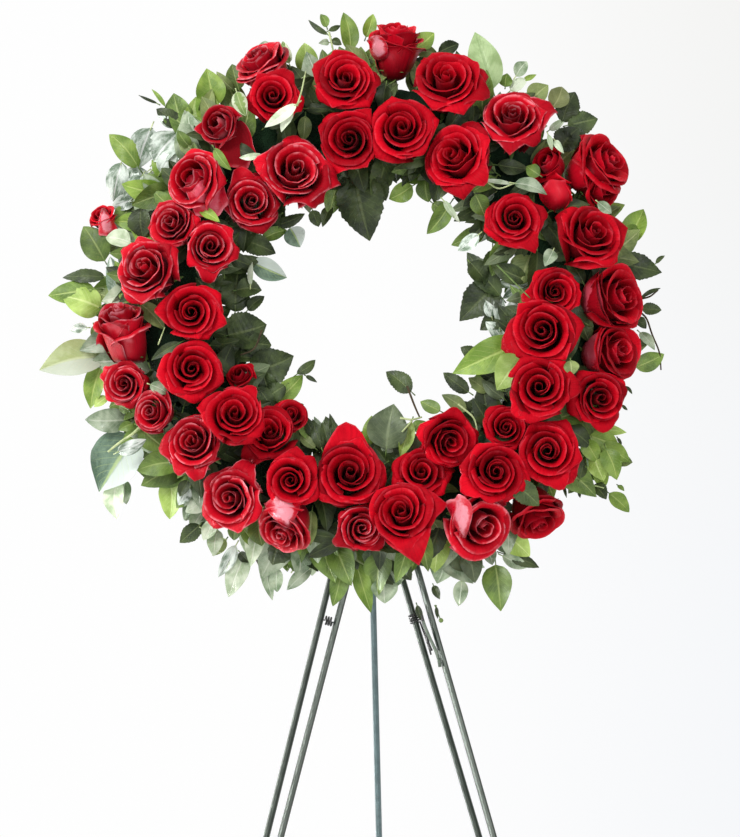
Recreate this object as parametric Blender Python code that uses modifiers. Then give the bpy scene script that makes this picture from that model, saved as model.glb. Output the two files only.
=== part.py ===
"""Funeral wreath of red roses and mixed greenery on a folding three-legged wire easel.

Metres, +Z up, the wreath faces -Y.  A point of the wreath is given in the ring's own frame:
a to the right, b up along the leaning ring, w out of the ring towards the mourners.
"""

import math
import random

import bmesh
import bpy
from mathutils import Matrix, Vector

for ob in list(bpy.data.objects):
    bpy.data.objects.remove(ob, do_unlink=True)

random.seed(18)
MM = 0.001

# ---- driving dimensions (metres unless named otherwise) ----
LEAN = math.radians(10.0)  # the ring and the front legs lean back
RING_Z = 1.010  # height of the ring's centre
ROD = 0.00635 / 2  # easel rod, quarter inch
GAP = 0.0003  # clearance kept between separate pieces

TRAY_BACK = 0.0010  # w of the tray's back
TRAY_WALL = 0.0016
TRAY_DEEP = 0.022
TRAY_OUT = 0.2326
TRAY_IN = 0.1600
FOAM_TOP = 0.052
FOAM_SHOULDER = 0.038

FRAME_W = -0.0035  # w of the rod centres of the front legs
FOOT_OUT = 0.2458  # half spread of the outer rods on the floor
OUT_SLOPE = 0.2689
FOOT_IN = 0.2376
IN_SLOPE = 0.2820
TOP_Z = 0.866  # flat top of the outer bow
INNER_TOP_Z = 0.795
HINGE_Z = 0.832
HINGE_W = FRAME_W - 2 * ROD - GAP
REAR_REACH = math.radians(22.0)  # rear leg from the vertical
EYE = 2 * ROD + 0.0004  # centre line of the rod round the hinge bar
FLAT = 0.0008  # ground off the underside of each foot

STEM = 0.0025
CORE_W = 0.026  # depth at which the stems end in the foam

TWIG_OUT = 0.246
TWIG_IN = 0.153
TWIG_W = 0.012

# Roses: name, a and b of the bloom in mm, bloom radius in mm, extra lift in mm, turn in mm.
ROSES = [
    ("rose_top_01", -103, 240, 26, -34, 0),
    ("rose_top_02", -98, 211, 30, 6, 0),
    ("rose_top_03", -23, 228, 33, 0, 0),
    ("rose_top_04", 25, 258, 28, -14, 0),
    ("rose_top_05", 79, 223, 35, 0, 0),
    ("rose_top_06", -18, 165, 30, -6, 0),
    ("rose_top_07", 33, 181, 31, 0, 0),
    ("rose_top_08", 92, 148, 33, 2, 0),
    ("rose_top_09", 147, 183, 33, 0, 0),
    ("rose_top_10", -143, 178, 26, -8, -8),
    ("rose_left_01", -71, 133, 35, 6, 0),
    ("rose_left_02", -118, 108, 30, -4, 0),
    ("rose_left_03", -173, 128, 28, 4, -8),
    ("rose_left_04", -195, 86, 27, -12, 0),
    ("rose_left_05", -158, 61, 29, 0, 0),
    ("rose_left_06", -218, 38, 33, 2, 0),
    ("rose_left_07", -176, -2, 30, 0, 0),
    ("rose_left_08", -243, -17, 28, -14, 0),
    ("rose_left_09", -176, -62, 30, 0, 0),
    ("rose_left_10", -240, -72, 26, -14, 0),
    ("rose_left_11", -203, -97, 24, -10, 0),
    ("rose_left_12", -136, -104, 30, 6, 0),
    ("rose_left_13", -176, -137, 32, 4, 0),
    ("rose_bottom_01", -100, -125, 30, -8, 0),
    ("rose_bottom_02", -135, -185, 34, 0, 0),
    ("rose_bottom_03", -75, -167, 28, -6, 0),
    ("rose_bottom_04", -78, -210, 26, -14, 0),
    ("rose_bottom_05", -18, -160, 34, 0, 0),
    ("rose_bottom_06", -10, -220, 28, -14, 0),
    ("rose_bottom_07", 37, -212, 34, 4, 0),
    ("rose_bottom_08", 80, -129, 28, 4, 0),
    ("rose_bottom_09", 57, -160, 26, -14, 0),
    ("rose_bottom_10", 124, -164, 32, 4, 0),
    ("rose_bottom_11", 105, -209, 32, -6, 0),
    ("rose_right_01", 137, -119, 26, -14, 0),
    ("rose_right_02", 182, -142, 34, 0, 0),
    ("rose_right_03", 162, -197, 28, -18, 0),
    ("rose_right_04", 173, -79, 32, 0, 0),
    ("rose_right_05", 175, -25, 32, 2, 0),
    ("rose_right_06", 186, 18, 28, -12, 0),
    ("rose_right_07", 147, 86, 32, 0, 0),
    ("rose_right_08", 222, 71, 32, 2, 0),
    ("rose_right_09", 222, 143, 30, -14, 0),
    ("rose_right_10", 245, 8, 30, -14, 0),
    ("rose_right_11", 244, -42, 28, -14, 0),
    ("rose_right_12", 229, -92, 30, -4, 0),
]

# Leaves of each spray: tip a, tip b, base a, base b, width, all in mm.
SPRAYS = {
    "greenery_top": (48, 128, TWIG_OUT, [
        (-163, 238, -147, 204, 24), (-136, 242, -130, 218, 18), (-60, 288, -46, 258, 12),
        (-25, 296, -18, 257, 17), (5, 294, -2, 262, 13), (67, 272, 45, 256, 14),
        (92, 258, 68, 250, 14), (107, 276, 126, 222, 30), (157, 246, 144, 224, 14),
        (192, 220, 177, 194, 22)]),
    "greenery_left": (134, 232, TWIG_OUT, [
        (-228, 216, -208, 196, 12), (-211, 206, -182, 182, 24), (-258, 174, -231, 143, 20),
        (-261, 140, -241, 112, 18), (-273, 44, -262, 74, 22), (-307, 32, -264, 40, 14),
        (-320, 13, -276, 22, 22), (-307, -14, -267, -2, 26), (-328, -62, -264, -50, 36),
        (-280, -99, -262, -62, 16), (-282, -112, -240, -108, 26), (-270, -183, -230, -124, 46),
        (-251, -211, -246, -170, 26), (-232, -160, -198, -150, 24), (-199, -210, -188, -168, 28),
        (-173, -223, -162, -200, 22)]),
    "greenery_bottom": (237, 306, TWIG_OUT, [
        (-149, -269, -134, -237, 18), (-141, -288, -125, -244, 22), (-94, -291, -106, -244, 16),
        (-68, -266, -80, -238, 30), (-36, -297, -30, -254, 24), (4, -302, -6, -262, 26),
        (27, -292, 20, -254, 32), (72, -290, 78, -250, 32), (93, -300, 98, -270, 16),
        (132, -302, 127, -257, 27), (152, -266, 128, -246, 14), (172, -259, 132, -241, 20),
        (161, -248, 142, -226, 22)]),
    "greenery_right": (312, 402, TWIG_OUT, [
        (262, -204, 241, -184, 18), (232, -194, 226, -178, 20), (249, -168, 224, -130, 32),
        (264, -154, 248, -150, 12), (258, -125, 222, -122, 12), (297, -46, 264, -58, 20),
        (294, -1, 268, -1, 12), (293, 21, 272, 8, 8), (295, 50, 250, 52, 28),
        (275, 100, 254, 66, 24), (229, 196, 204, 178, 26), (212, 216, 194, 196, 20)]),
    "greenery_inner_left": (96, 262, TWIG_IN, [
        (3, 70, -18, 128, 44), (-45, 83, -40, 116, 24), (-68, 62, -88, 84, 18),
        (-82, 32, -112, 58, 28), (-106, 8, -128, 14, 18), (-100, -6, -132, -34, 32),
        (-76, -48, -124, -64, 40), (-64, -70, -96, -96, 20), (-40, -104, -52, -122, 12)]),
    "greenery_inner_right": (276, 444, TWIG_IN, [
        (16, 111, 46, 126, 22), (61, 76, 81, 106, 24), (86, 63, 116, 76, 18),
        (98, 56, 126, 18, 24), (91, -11, 128, 22, 30), (104, -36, 130, -22, 16),
        (86, -65, 142, -38, 28), (118, -88, 136, -62, 22), (78, -86, 112, -78, 20),
        (4, -108, 34, -124, 30)]),
}


# ---- places ----
def ring(a, b, w):
    """Point of the leaning ring's frame, in world axes about the easel's centre line."""
    return Vector(
        (
            a,
            b * math.sin(LEAN) - w * math.cos(LEAN),
            RING_Z + b * math.cos(LEAN) + w * math.sin(LEAN),
        )
    )


def frame_b(z, w):
    """The b at which a line at depth w of the ring's frame has height z."""
    return (z - RING_Z - w * math.sin(LEAN)) / math.cos(LEAN)


RING_AXES = Matrix(
    (
        (1, 0, 0),
        (0, math.sin(LEAN), -math.cos(LEAN)),
        (0, math.cos(LEAN), math.sin(LEAN)),
    )
).to_4x4()
RING_FRAME = Matrix.Translation((0, 0, RING_Z)) @ RING_AXES


# ---- collections and materials ----
scene = bpy.context.scene
parts = bpy.data.collections.new("funeral_wreath")
cutters = bpy.data.collections.new("cutters")
scene.collection.children.link(parts)
scene.collection.children.link(cutters)


def material(name, color, roughness, metallic=0.0):
    mat = bpy.data.materials.new(name)
    mat.use_nodes = True
    bsdf = mat.node_tree.nodes["Principled BSDF"]
    bsdf.inputs["Base Color"].default_value = (*color, 1.0)
    bsdf.inputs["Roughness"].default_value = roughness
    bsdf.inputs["Metallic"].default_value = metallic
    mat.diffuse_color = (*color, 1.0)
    return mat


PETAL = material("petal_red", (0.42, 0.006, 0.014), 0.55)
LEAF = material("leaf_green", (0.07, 0.16, 0.03), 0.5)
FOAM = material("floral_foam", (0.03, 0.12, 0.05), 0.95)
TRAY = material("tray_plastic", (0.01, 0.035, 0.018), 0.45)
ENAMEL = material("green_enamel", (0.006, 0.028, 0.016), 0.22, 0.3)
BINDING = material("binding_wire", (0.012, 0.012, 0.012), 0.5, 0.4)


# ---- building tools ----
def put(name, mesh, mat, collection=parts):
    mesh.name = name
    mesh.materials.clear()
    mesh.materials.append(mat)
    ob = bpy.data.objects.new(name, mesh)
    collection.objects.link(ob)
    return ob


def evaluated(ob, weld=1e-6):
    """The object's evaluated shape as a mesh of its own, welded, in world axes."""
    bpy.context.view_layer.update()
    graph = bpy.context.evaluated_depsgraph_get()
    mesh = bpy.data.meshes.new_from_object(ob.evaluated_get(graph))
    mesh.transform(ob.matrix_world)
    bm = bmesh.new()
    bm.from_mesh(mesh)
    bmesh.ops.remove_doubles(bm, verts=bm.verts, dist=weld)
    bmesh.ops.recalc_face_normals(bm, faces=bm.faces)
    bm.to_mesh(mesh)
    bm.free()
    return mesh


def tube(points, radius, cyclic=False, radii=None, resolution=2, twist=0.0):
    """Closed mesh of a rod along the points."""
    curve = bpy.data.curves.new("rod", "CURVE")
    curve.dimensions = "3D"
    curve.bevel_depth = radius
    curve.bevel_resolution = resolution
    curve.use_fill_caps = not cyclic
    spline = curve.splines.new("POLY")
    spline.points.add(len(points) - 1)
    for i, p in enumerate(points):
        spline.points[i].co = (*p, 1.0)
        spline.points[i].radius = radii[i] if radii else 1.0
        spline.points[i].tilt = twist
    spline.use_cyclic_u = cyclic
    ob = bpy.data.objects.new("rod", curve)
    scene.collection.objects.link(ob)
    mesh = evaluated(ob)
    bpy.data.objects.remove(ob, do_unlink=True)
    return mesh


def smooth(mesh):
    for poly in mesh.polygons:
        poly.use_smooth = True
    return mesh


def boolean(ob, other, operation):
    mod = ob.modifiers.new(operation.lower(), "BOOLEAN")
    mod.operation = operation
    mod.solver = "EXACT"
    mod.object = other
    return mod


def fillet(corners, radii, segments=5):
    """Closed path through the corners, each rounded by its own radius."""
    path = []
    n = len(corners)
    for i in range(n):
        p, q, r = (Vector(corners[j % n]) for j in (i - 1, i, i + 1))
        u, v = (p - q).normalized(), (r - q).normalized()
        half = u.angle(v) / 2
        back = radii[i] / math.tan(half)
        centre = q + (u + v).normalized() * (radii[i] / math.sin(half))
        start, end = q + u * back - centre, q + v * back - centre
        sweep = start.angle(end)
        for k in range(segments + 1):
            t = k / segments
            path.append(
                centre
                + (start * math.sin((1 - t) * sweep) + end * math.sin(t * sweep)) / math.sin(sweep)
            )
    return path


def lathe(name, profile, steps, mat, place):
    """Solid of revolution about its own Z from a profile that runs down its outer side."""
    mesh = bpy.data.meshes.new(name)
    closed = profile[0][0] > 1e-6
    edges = [(i, i + 1) for i in range(len(profile) - 1)]
    if closed:
        edges.append((len(profile) - 1, 0))
    mesh.from_pydata([(x, 0.0, z) for x, z in profile], edges, [])
    ob = put(name, mesh, mat)
    screw = ob.modifiers.new("screw", "SCREW")
    screw.steps = screw.render_steps = steps
    screw.use_merge_vertices = True
    screw.merge_threshold = 1e-5
    screw.use_smooth_shade = True
    screw.use_normal_calculate = True
    ob.matrix_world = place
    return ob


# ---- easel: the front is one rod bent into both doubled legs ----
def half_out(z):
    return FOOT_OUT - OUT_SLOPE * z


def half_in(z):
    return FOOT_IN - IN_SLOPE * z


foot_z = ROD * math.cos(LEAN) - FLAT
corner_rows = [
    (-half_out(TOP_Z), TOP_Z, 0.0075),
    (-half_out(foot_z), foot_z, 0.0038),
    (-half_in(foot_z), foot_z, 0.0038),
    (-half_in(INNER_TOP_Z), INNER_TOP_Z, 0.0110),
]
corner_rows += [(-x, z, r) for x, z, r in reversed(corner_rows)]
corners = [ring(x, frame_b(z, FRAME_W), FRAME_W) for x, z, _ in corner_rows]
front_path = fillet(corners, [r for _, _, r in corner_rows])
front_frame = put("front_legs", smooth(tube(front_path, ROD, cyclic=True)), ENAMEL)

floor = bpy.data.meshes.new("floor_cutter")
bm = bmesh.new()
bmesh.ops.create_cube(bm, size=2.0)
bm.to_mesh(floor)
bm.free()
floor_cutter = put("floor_cutter", floor, BINDING, cutters)
floor_cutter.location.z = -1.0
floor_cutter.hide_render = True
floor_cutter.display_type = "WIRE"
boolean(front_frame, floor_cutter, "DIFFERENCE")

hinge_point = ring(0, frame_b(HINGE_Z, HINGE_W), HINGE_W)
bar_half = half_out(HINGE_Z) + 0.006
hinge_bar = put(
    "hinge_bar",
    smooth(tube([hinge_point + Vector((s * bar_half, 0, 0)) for s in (-1, 1)], ROD)),
    ENAMEL,
)

# Support wire: across the back of the legs, with a prong forward under the tray at each end.
prong_a, prong_b = 0.050, -(TRAY_OUT**2 - 0.050**2) ** 0.5 - GAP - ROD - 0.0016
prong_corners = [(-prong_a, 0.044), (-prong_a, HINGE_W), (prong_a, HINGE_W), (prong_a, 0.044)]


def open_bend(points, radius, segments=5):
    """Open path with its inner corners rounded."""
    path = [Vector(points[0])]
    for p, q, r in zip(points, points[1:], points[2:]):
        p, q, r = Vector(p), Vector(q), Vector(r)
        u, v = (p - q).normalized(), (r - q).normalized()
        half = u.angle(v) / 2
        centre = q + (u + v).normalized() * (radius / math.sin(half))
        start = q + u * radius / math.tan(half) - centre
        end = q + v * radius / math.tan(half) - centre
        sweep = start.angle(end)
        for k in range(segments + 1):
            t = k / segments
            path.append(
                centre
                + (start * math.sin((1 - t) * sweep) + end * math.sin(t * sweep)) / math.sin(sweep)
            )
    path.append(Vector(points[-1]))
    return path


support_path = open_bend([ring(a, prong_b, w) for a, w in prong_corners], 0.008)
support_wire = put("support_prongs", smooth(tube(support_path, ROD)), ENAMEL)

# Rear leg: straight rod, one coil round the hinge bar, short tail that stops on the front's flat top.
top_point = ring(0, frame_b(TOP_Z, FRAME_W), FRAME_W)
reach = top_point - hinge_point
tail_lean = math.atan2(reach.y, reach.z) - 0.0003 / reach.length
beta = REAR_REACH
leg_dir = Vector((0, math.sin(beta), -math.cos(beta)))
leg_side = Vector((0, math.cos(beta), math.sin(beta)))
leg_start = hinge_point + leg_side * EYE
leg_length = (leg_start.z + 0.006) / math.cos(beta)
coil_turn = 2 * math.pi - tail_lean - beta
coil_pitch = 2 * ROD + 0.0009
COIL_STEPS = 22
leg_x = -coil_pitch / 2
rear_path = [leg_start + leg_dir * leg_length + Vector((leg_x, 0, 0))]
for k in range(COIL_STEPS + 1):
    t = k / COIL_STEPS
    phi = beta + coil_turn * t
    rear_path.append(
        hinge_point
        + Vector((leg_x + coil_pitch * t, EYE * math.cos(phi), EYE * math.sin(phi)))
    )
rear_path.append(
    rear_path[-1] + Vector((0, math.sin(tail_lean), math.cos(tail_lean))) * (reach.length + 0.009)
)
rear_leg = put("rear_leg", smooth(tube(rear_path, ROD)), ENAMEL)
boolean(rear_leg, floor_cutter, "DIFFERENCE")


# ---- binding wire on the two pairs of rods ----
WIRE = 0.0009


def rod_axes(side, half, z):
    """Centre of a front rod at height z, its own direction, the way to the outer rod, and out."""
    slope = math.atan(IN_SLOPE * math.cos(LEAN))
    centre = ring(side * half(z), frame_b(z, FRAME_W), FRAME_W)
    along = (RING_AXES @ Vector((-side * math.sin(slope), math.cos(slope), 0))).normalized()
    out = (RING_AXES @ Vector((0, 0, 1))).normalized()
    return centre, along, along.cross(out).normalized() * side, out


def bridge_coil(name, side, z, turns):
    """Coil of wire that bridges the two rods of a pair, its ends tucked behind them."""
    inner, along, across, out = rod_axes(side, half_in, z)
    outer = rod_axes(side, half_out, z)[0]
    centre = (inner + outer) / 2
    apart = (outer - inner).dot(across) / 2
    reach, r = apart - ROD - WIRE - 0.0005, 0.0042
    steps = 10

    def at(s, ang, radius):
        return centre + across * s + (out * math.cos(ang) + along * math.sin(ang)) * radius

    behind = ROD + WIRE + 0.0004
    path = [centre - across * apart - out * behind]
    for k in range(int(turns * steps) + 1):
        t = k / (turns * steps)
        path.append(at(reach * (2 * t - 1), math.pi + 2 * math.pi * turns * t, r))
    path.append(centre + across * apart - out * behind)
    return put(name, smooth(tube(path, WIRE, resolution=1)), BINDING)


def rod_coil(name, side, z, turns, tail):
    """Coil of wire round the inner rod of a pair, with a tail hanging between the rods."""
    centre, along, across, out = rod_axes(side, half_in, z)
    r = ROD + GAP + WIRE + 0.0003
    steps = 10
    path = [centre + across * (r + 0.0012) + out * 0.002 - along * tail]
    path.append(path[0] + along * tail * 0.45 + out * 0.0016 - across * 0.0004)
    for k in range(int(turns * steps) + 1):
        ang = 2 * math.pi * k / steps
        rise = (k / steps - turns / 2) * WIRE * 2.7
        path.append(centre + along * rise + (across * math.cos(ang) - out * math.sin(ang)) * r)
    path.append(path[-1] + out * 0.003 + along * 0.004 + across * 0.002)
    return put(name, smooth(tube(path, WIRE, resolution=1)), BINDING)


bridge_coil("binding_left", -1, 0.703, 3.0)
rod_coil("binding_right", 1, 0.704, 4.0, 0.040)


# ---- ring: moulded tray and the floral foam in it ----
t0, t1 = TRAY_BACK, TRAY_BACK + TRAY_DEEP
tray_profile = [
    (TRAY_OUT, t1),
    (TRAY_OUT, t0 + 0.003),
    (TRAY_OUT - 0.003, t0),
    (TRAY_IN + 0.003, t0),
    (TRAY_IN, t0 + 0.003),
    (TRAY_IN, t1),
    (TRAY_IN + TRAY_WALL, t1),
    (TRAY_IN + TRAY_WALL, t0 + TRAY_WALL),
    (TRAY_OUT - TRAY_WALL, t0 + TRAY_WALL),
    (TRAY_OUT - TRAY_WALL, t1),
]
ring_tray = lathe("ring_tray", tray_profile, 40, TRAY, RING_FRAME)

f0 = t0 + TRAY_WALL + GAP
foam_out, foam_in = TRAY_OUT - TRAY_WALL - 0.0009, TRAY_IN + TRAY_WALL + 0.0009
foam_profile = [
    (foam_out - 0.016, FOAM_TOP),
    (foam_out, FOAM_SHOULDER),
    (foam_out, f0),
    (foam_in, f0),
    (foam_in, FOAM_SHOULDER),
    (foam_in + 0.016, FOAM_TOP),
]
foam_ring = lathe("foam_ring", foam_profile, 40, FOAM, RING_FRAME)


# ---- where each bloom and each stem end sits, in the ring's frame ----
class Rose:
    def __init__(self, row):
        self.name, a, b, size, lift, turn = row
        self.home = (a * MM, b * MM)
        self.rho = 0.9 * size * MM
        r = math.hypot(a, b)
        if r >= 196:
            w = 94 - 45 * ((r - 196) / 84) ** 1.2
        else:
            w = 94 - 18 * (196 - r) / 46
        self.low = self.rho + 0.024
        self.head = Vector((a * MM, b * MM, max(self.low, (w + lift) * MM)))
        angle = math.atan2(b, a) + turn / r
        core = min(max(196 + 0.26 * (r - 196), 180), 216) * MM
        self.core = Vector((core * math.cos(angle), core * math.sin(angle), CORE_W))
        self.lift = lift


def foam_gap(head):
    """Distance from a bloom's centre to the foam's section, zero inside it."""
    r, best = math.hypot(head.x, head.y), 9.0
    inside = True
    for (x0, z0), (x1, z1) in zip(foam_profile, foam_profile[1:] + foam_profile[:1]):
        dx, dz = x1 - x0, z1 - z0
        t = min(max(((r - x0) * dx + (head.z - z0) * dz) / (dx * dx + dz * dz), 0), 1)
        best = min(best, math.hypot(r - x0 - t * dx, head.z - z0 - t * dz))
        if dx * (head.z - z0) - dz * (r - x0) > 0:
            inside = False
    return 0.0 if inside else best


roses = [Rose(row) for row in ROSES]
for _ in range(400):
    worst = 0.0
    for i, p in enumerate(roses):
        for q in roses[i + 1 :]:
            gap = p.head - q.head
            need = p.rho + q.rho + 0.0006 - gap.length
            if need > 0:
                worst = max(worst, need)
                lift = gap.z if abs(gap.z) > 1e-4 else (p.lift - q.lift or 1) * 1e-3
                push = Vector((gap.x * 0.30, gap.y * 0.30, math.copysign(max(abs(lift), 0.012), lift)))
                push = push.normalized() * need * 0.6
                p.head += push
                q.head -= push
            near = p.core - q.core
            near.z = 0
            if near.length < 0.0125:
                push = near.normalized() * (0.0125 - near.length) * 0.5
                p.core += push
                q.core -= push
    for p in roses:
        p.head.z = max(p.head.z, p.low)
        while foam_gap(p.head) < 0.93 * p.rho + GAP:
            p.head.z += 0.0004
            worst = max(worst, 1e-4)
        r = math.hypot(p.core.x, p.core.y)
        keep = min(max(r, 0.177), 0.217) / r
        p.core.x *= keep
        p.core.y *= keep
    if worst < 1e-5:
        break


# ---- roses: bloom, calyx and stem are one lathed solid each ----
def bloom_profile(rho, stem_end):
    return [
        (0.0, 0.46 * rho),
        (0.20 * rho, 0.66 * rho),
        (0.34 * rho, 0.44 * rho),
        (0.56 * rho, 0.66 * rho),
        (0.72 * rho, 0.40 * rho),
        (0.97 * rho, 0.22 * rho),
        (0.86 * rho, -0.16 * rho),
        (0.46 * rho, -0.70 * rho),
        (STEM, -0.94 * rho),
        (STEM, -stem_end),
        (0.0, -stem_end),
    ]


holes = bmesh.new()
for rose in roses:
    away = rose.head - rose.core
    turn = away.to_track_quat("Z", "Y").to_matrix().to_4x4()
    place = RING_FRAME @ Matrix.Translation(rose.head) @ turn
    lathe(rose.name, bloom_profile(rose.rho, away.length), 8, PETAL, place)
    up = away.z / away.length
    depth = min((FOAM_TOP - CORE_W) / up, 0.040) + 0.007
    middle = rose.core + away.normalized() * (depth / 2 - 0.0012)
    bmesh.ops.create_cone(
        holes,
        cap_ends=True,
        segments=6,
        radius1=STEM + 0.0010,
        radius2=STEM + 0.0010,
        depth=depth,
        matrix=RING_FRAME @ Matrix.Translation(middle) @ turn,
    )
hole_mesh = bpy.data.meshes.new("stem_holes")
holes.to_mesh(hole_mesh)
holes.free()
stem_holes = put("stem_holes", hole_mesh, BINDING, cutters)
stem_holes.hide_render = True
stem_holes.display_type = "WIRE"
boolean(foam_ring, stem_holes, "DIFFERENCE").use_self = True


# ---- greenery: a twig along the ring's edge, each leaf a stalk that widens into its blade ----
def leaf(root, base, tip, width, face):
    """Thin lens-shaped leaf on its own stalk, keeled along its middle."""
    length = (tip - root).length
    stalk = (base - root).length / length
    half = width / 2
    thick = 0.0011
    stations = [(0.0, thick / half), (stalk, thick / half)]
    stations += [(stalk + (1 - stalk) * s, k) for s, k in ((0.24, 0.82), (0.55, 1.0), (0.82, 0.55))]
    stations.append((1.0, 0.03))
    mesh = tube(
        [(length * s, 0, 0) for s, _ in stations],
        half,
        radii=[k for _, k in stations],
        resolution=0,
    )
    along = (tip - root).normalized()
    side = face.cross(along).normalized()
    up = along.cross(side)
    for v in mesh.vertices:
        s = v.co.x / length
        droop = 0.05 * length * math.sin(math.pi * max(0.0, (s - stalk) / (1 - stalk)))
        keel = 0.0 if abs(v.co.z) < 1e-7 else math.copysign(min(thick, abs(v.co.z) * 2), v.co.z)
        v.co = root + along * v.co.x + side * v.co.y + up * (keel + droop)
    return mesh


def join_closed(name, meshes, mat):
    """Boolean union of closed, overlapping meshes into one body."""
    first = put(name, meshes[0], mat)
    for mesh in meshes[1:]:
        other = put("piece", mesh, mat, cutters)
        boolean(first, other, "UNION").use_hole_tolerant = True
        whole = evaluated(first)
        first.modifiers.clear()
        old = first.data
        first.data = whole
        bpy.data.meshes.remove(old)
        bpy.data.objects.remove(other, do_unlink=True)
    first.data.name = name
    return first


def spray(name, start, end, radius, leaves):
    inner = radius < 0.2
    deep = TWIG_W + (0.007 if name.endswith(("left", "right")) and not inner else 0.0)
    sign = -1 if inner else 1
    angles = [math.radians(start + (end - start) * k / 11) for k in range(12)]
    twig = [ring(radius * math.cos(t), radius * math.sin(t), deep) for t in angles]
    pieces = [tube(twig, 0.0017, radii=[1.0 - 0.03 * k for k in range(12)], resolution=1)]
    for k, (ta, tb, ba, bb, width) in enumerate(leaves):
        tip, base = Vector((ta * MM, tb * MM)), Vector((ba * MM, bb * MM))
        limit = radius + sign * 0.007
        if sign * base.length < sign * limit:
            base = base.normalized() * limit
        if (tip - base).length < 0.012:
            tip = base + (tip - base).normalized() * 0.012
        # The stalk runs back in the leaf's own line to the twig, or to the twig's nearest point.
        back = (base - tip).normalized()
        p, q = base.dot(back), base.length_squared - radius**2
        span = -p - sign * math.sqrt(p * p - q) if p * p > q else 0.02
        root = base + back * min(max(abs(span), 0.006), 0.045)
        middle = math.radians((start + end) / 2)
        turn = math.remainder(math.atan2(root.y, root.x) - middle, 2 * math.pi)
        most = math.radians((end - start) / 2 - 0.6)
        turn = middle + min(max(turn, -most), most)
        root = Vector((radius * math.cos(turn), radius * math.sin(turn)))
        lift = (0.004, -0.003, 0.008)[k % 3]
        face = Vector((0.12 * math.sin(k * 2.1), 0.10 * math.cos(k * 1.7), 1))
        face = (RING_AXES @ face).normalized()
        pieces.append(
            leaf(
                ring(root.x, root.y, deep + 0.0003),
                ring(base.x, base.y, deep + lift * 0.4),
                ring(tip.x, tip.y, deep + lift),
                width * MM,
                face,
            )
        )
    return join_closed(name, pieces, LEAF)


for name, (start, end, radius, leaves) in SPRAYS.items():
    spray(name, start, end, radius, leaves)


# ---- put the whole thing over the origin, standing on z = 0 ----
bpy.context.view_layer.update()
graph = bpy.context.evaluated_depsgraph_get()
low, high = Vector((9, 9, 9)), Vector((-9, -9, -9))
for ob in parts.objects:
    shape = ob.evaluated_get(graph)
    mesh = shape.to_mesh()
    for v in mesh.vertices:
        co = ob.matrix_world @ v.co
        low = Vector(map(min, low, co))
        high = Vector(map(max, high, co))
    shape.to_mesh_clear()
shift = Vector((-(low.x + high.x) / 2, -(low.y + high.y) / 2, -low.z))
for ob in [*parts.objects, *cutters.objects]:
    ob.matrix_world = Matrix.Translation(shift) @ ob.matrix_world

# The rear leg's origin sits on its hinge axis.
pivot = hinge_point + shift
bpy.context.view_layer.update()
rear_leg.data.transform(Matrix.Translation(rear_leg.matrix_world.translation - pivot))
rear_leg.matrix_world = Matrix.Translation(pivot)

print("shift", tuple(round(c, 5) for c in shift))
print("box", tuple(round(c, 4) for c in low + shift), tuple(round(c, 4) for c in high + shift))
print("ring centre", tuple(round(c, 5) for c in ring(0, 0, 0) + shift))
print("hinge", tuple(round(c, 5) for c in pivot))
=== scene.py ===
from math import radians, degrees, sin, cos, pi, sqrt
import bpy
import numpy as np
from mathutils import Matrix


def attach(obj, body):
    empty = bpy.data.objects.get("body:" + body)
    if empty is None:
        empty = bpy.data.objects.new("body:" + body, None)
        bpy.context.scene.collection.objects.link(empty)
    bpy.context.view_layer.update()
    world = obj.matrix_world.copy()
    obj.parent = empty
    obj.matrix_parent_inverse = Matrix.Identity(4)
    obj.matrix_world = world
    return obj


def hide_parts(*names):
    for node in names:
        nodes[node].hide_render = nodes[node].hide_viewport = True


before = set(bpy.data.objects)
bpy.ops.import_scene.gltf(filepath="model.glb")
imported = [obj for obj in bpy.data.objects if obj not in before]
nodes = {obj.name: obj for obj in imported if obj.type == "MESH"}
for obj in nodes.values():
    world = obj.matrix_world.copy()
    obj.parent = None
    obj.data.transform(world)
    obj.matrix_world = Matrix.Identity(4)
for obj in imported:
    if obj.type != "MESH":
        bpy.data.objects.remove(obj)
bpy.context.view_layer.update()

# A standing funeral wreath of red roses and mixed greenery on a folding wire easel.
# Metres everywhere, +Z up, the wreath faces -Y. Flower and leaf places are given in the ring's own
# frame: a to the right, b up along the leaning ring, w out of its face; the ring's centre is O.

LEAN = radians(10.0)
O = np.array([0.0155, -0.07433, 1.010])
AX = np.array([1.0, 0.0, 0.0])
BX = np.array([0.0, sin(LEAN), cos(LEAN)])
WX = np.array([0.0, -cos(LEAN), sin(LEAN)])


def ring(a, b, w):
    """Millimetres in the ring's frame to metres in the world."""
    return O + (a * AX + b * BX + w * WX) * 0.001


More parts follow.
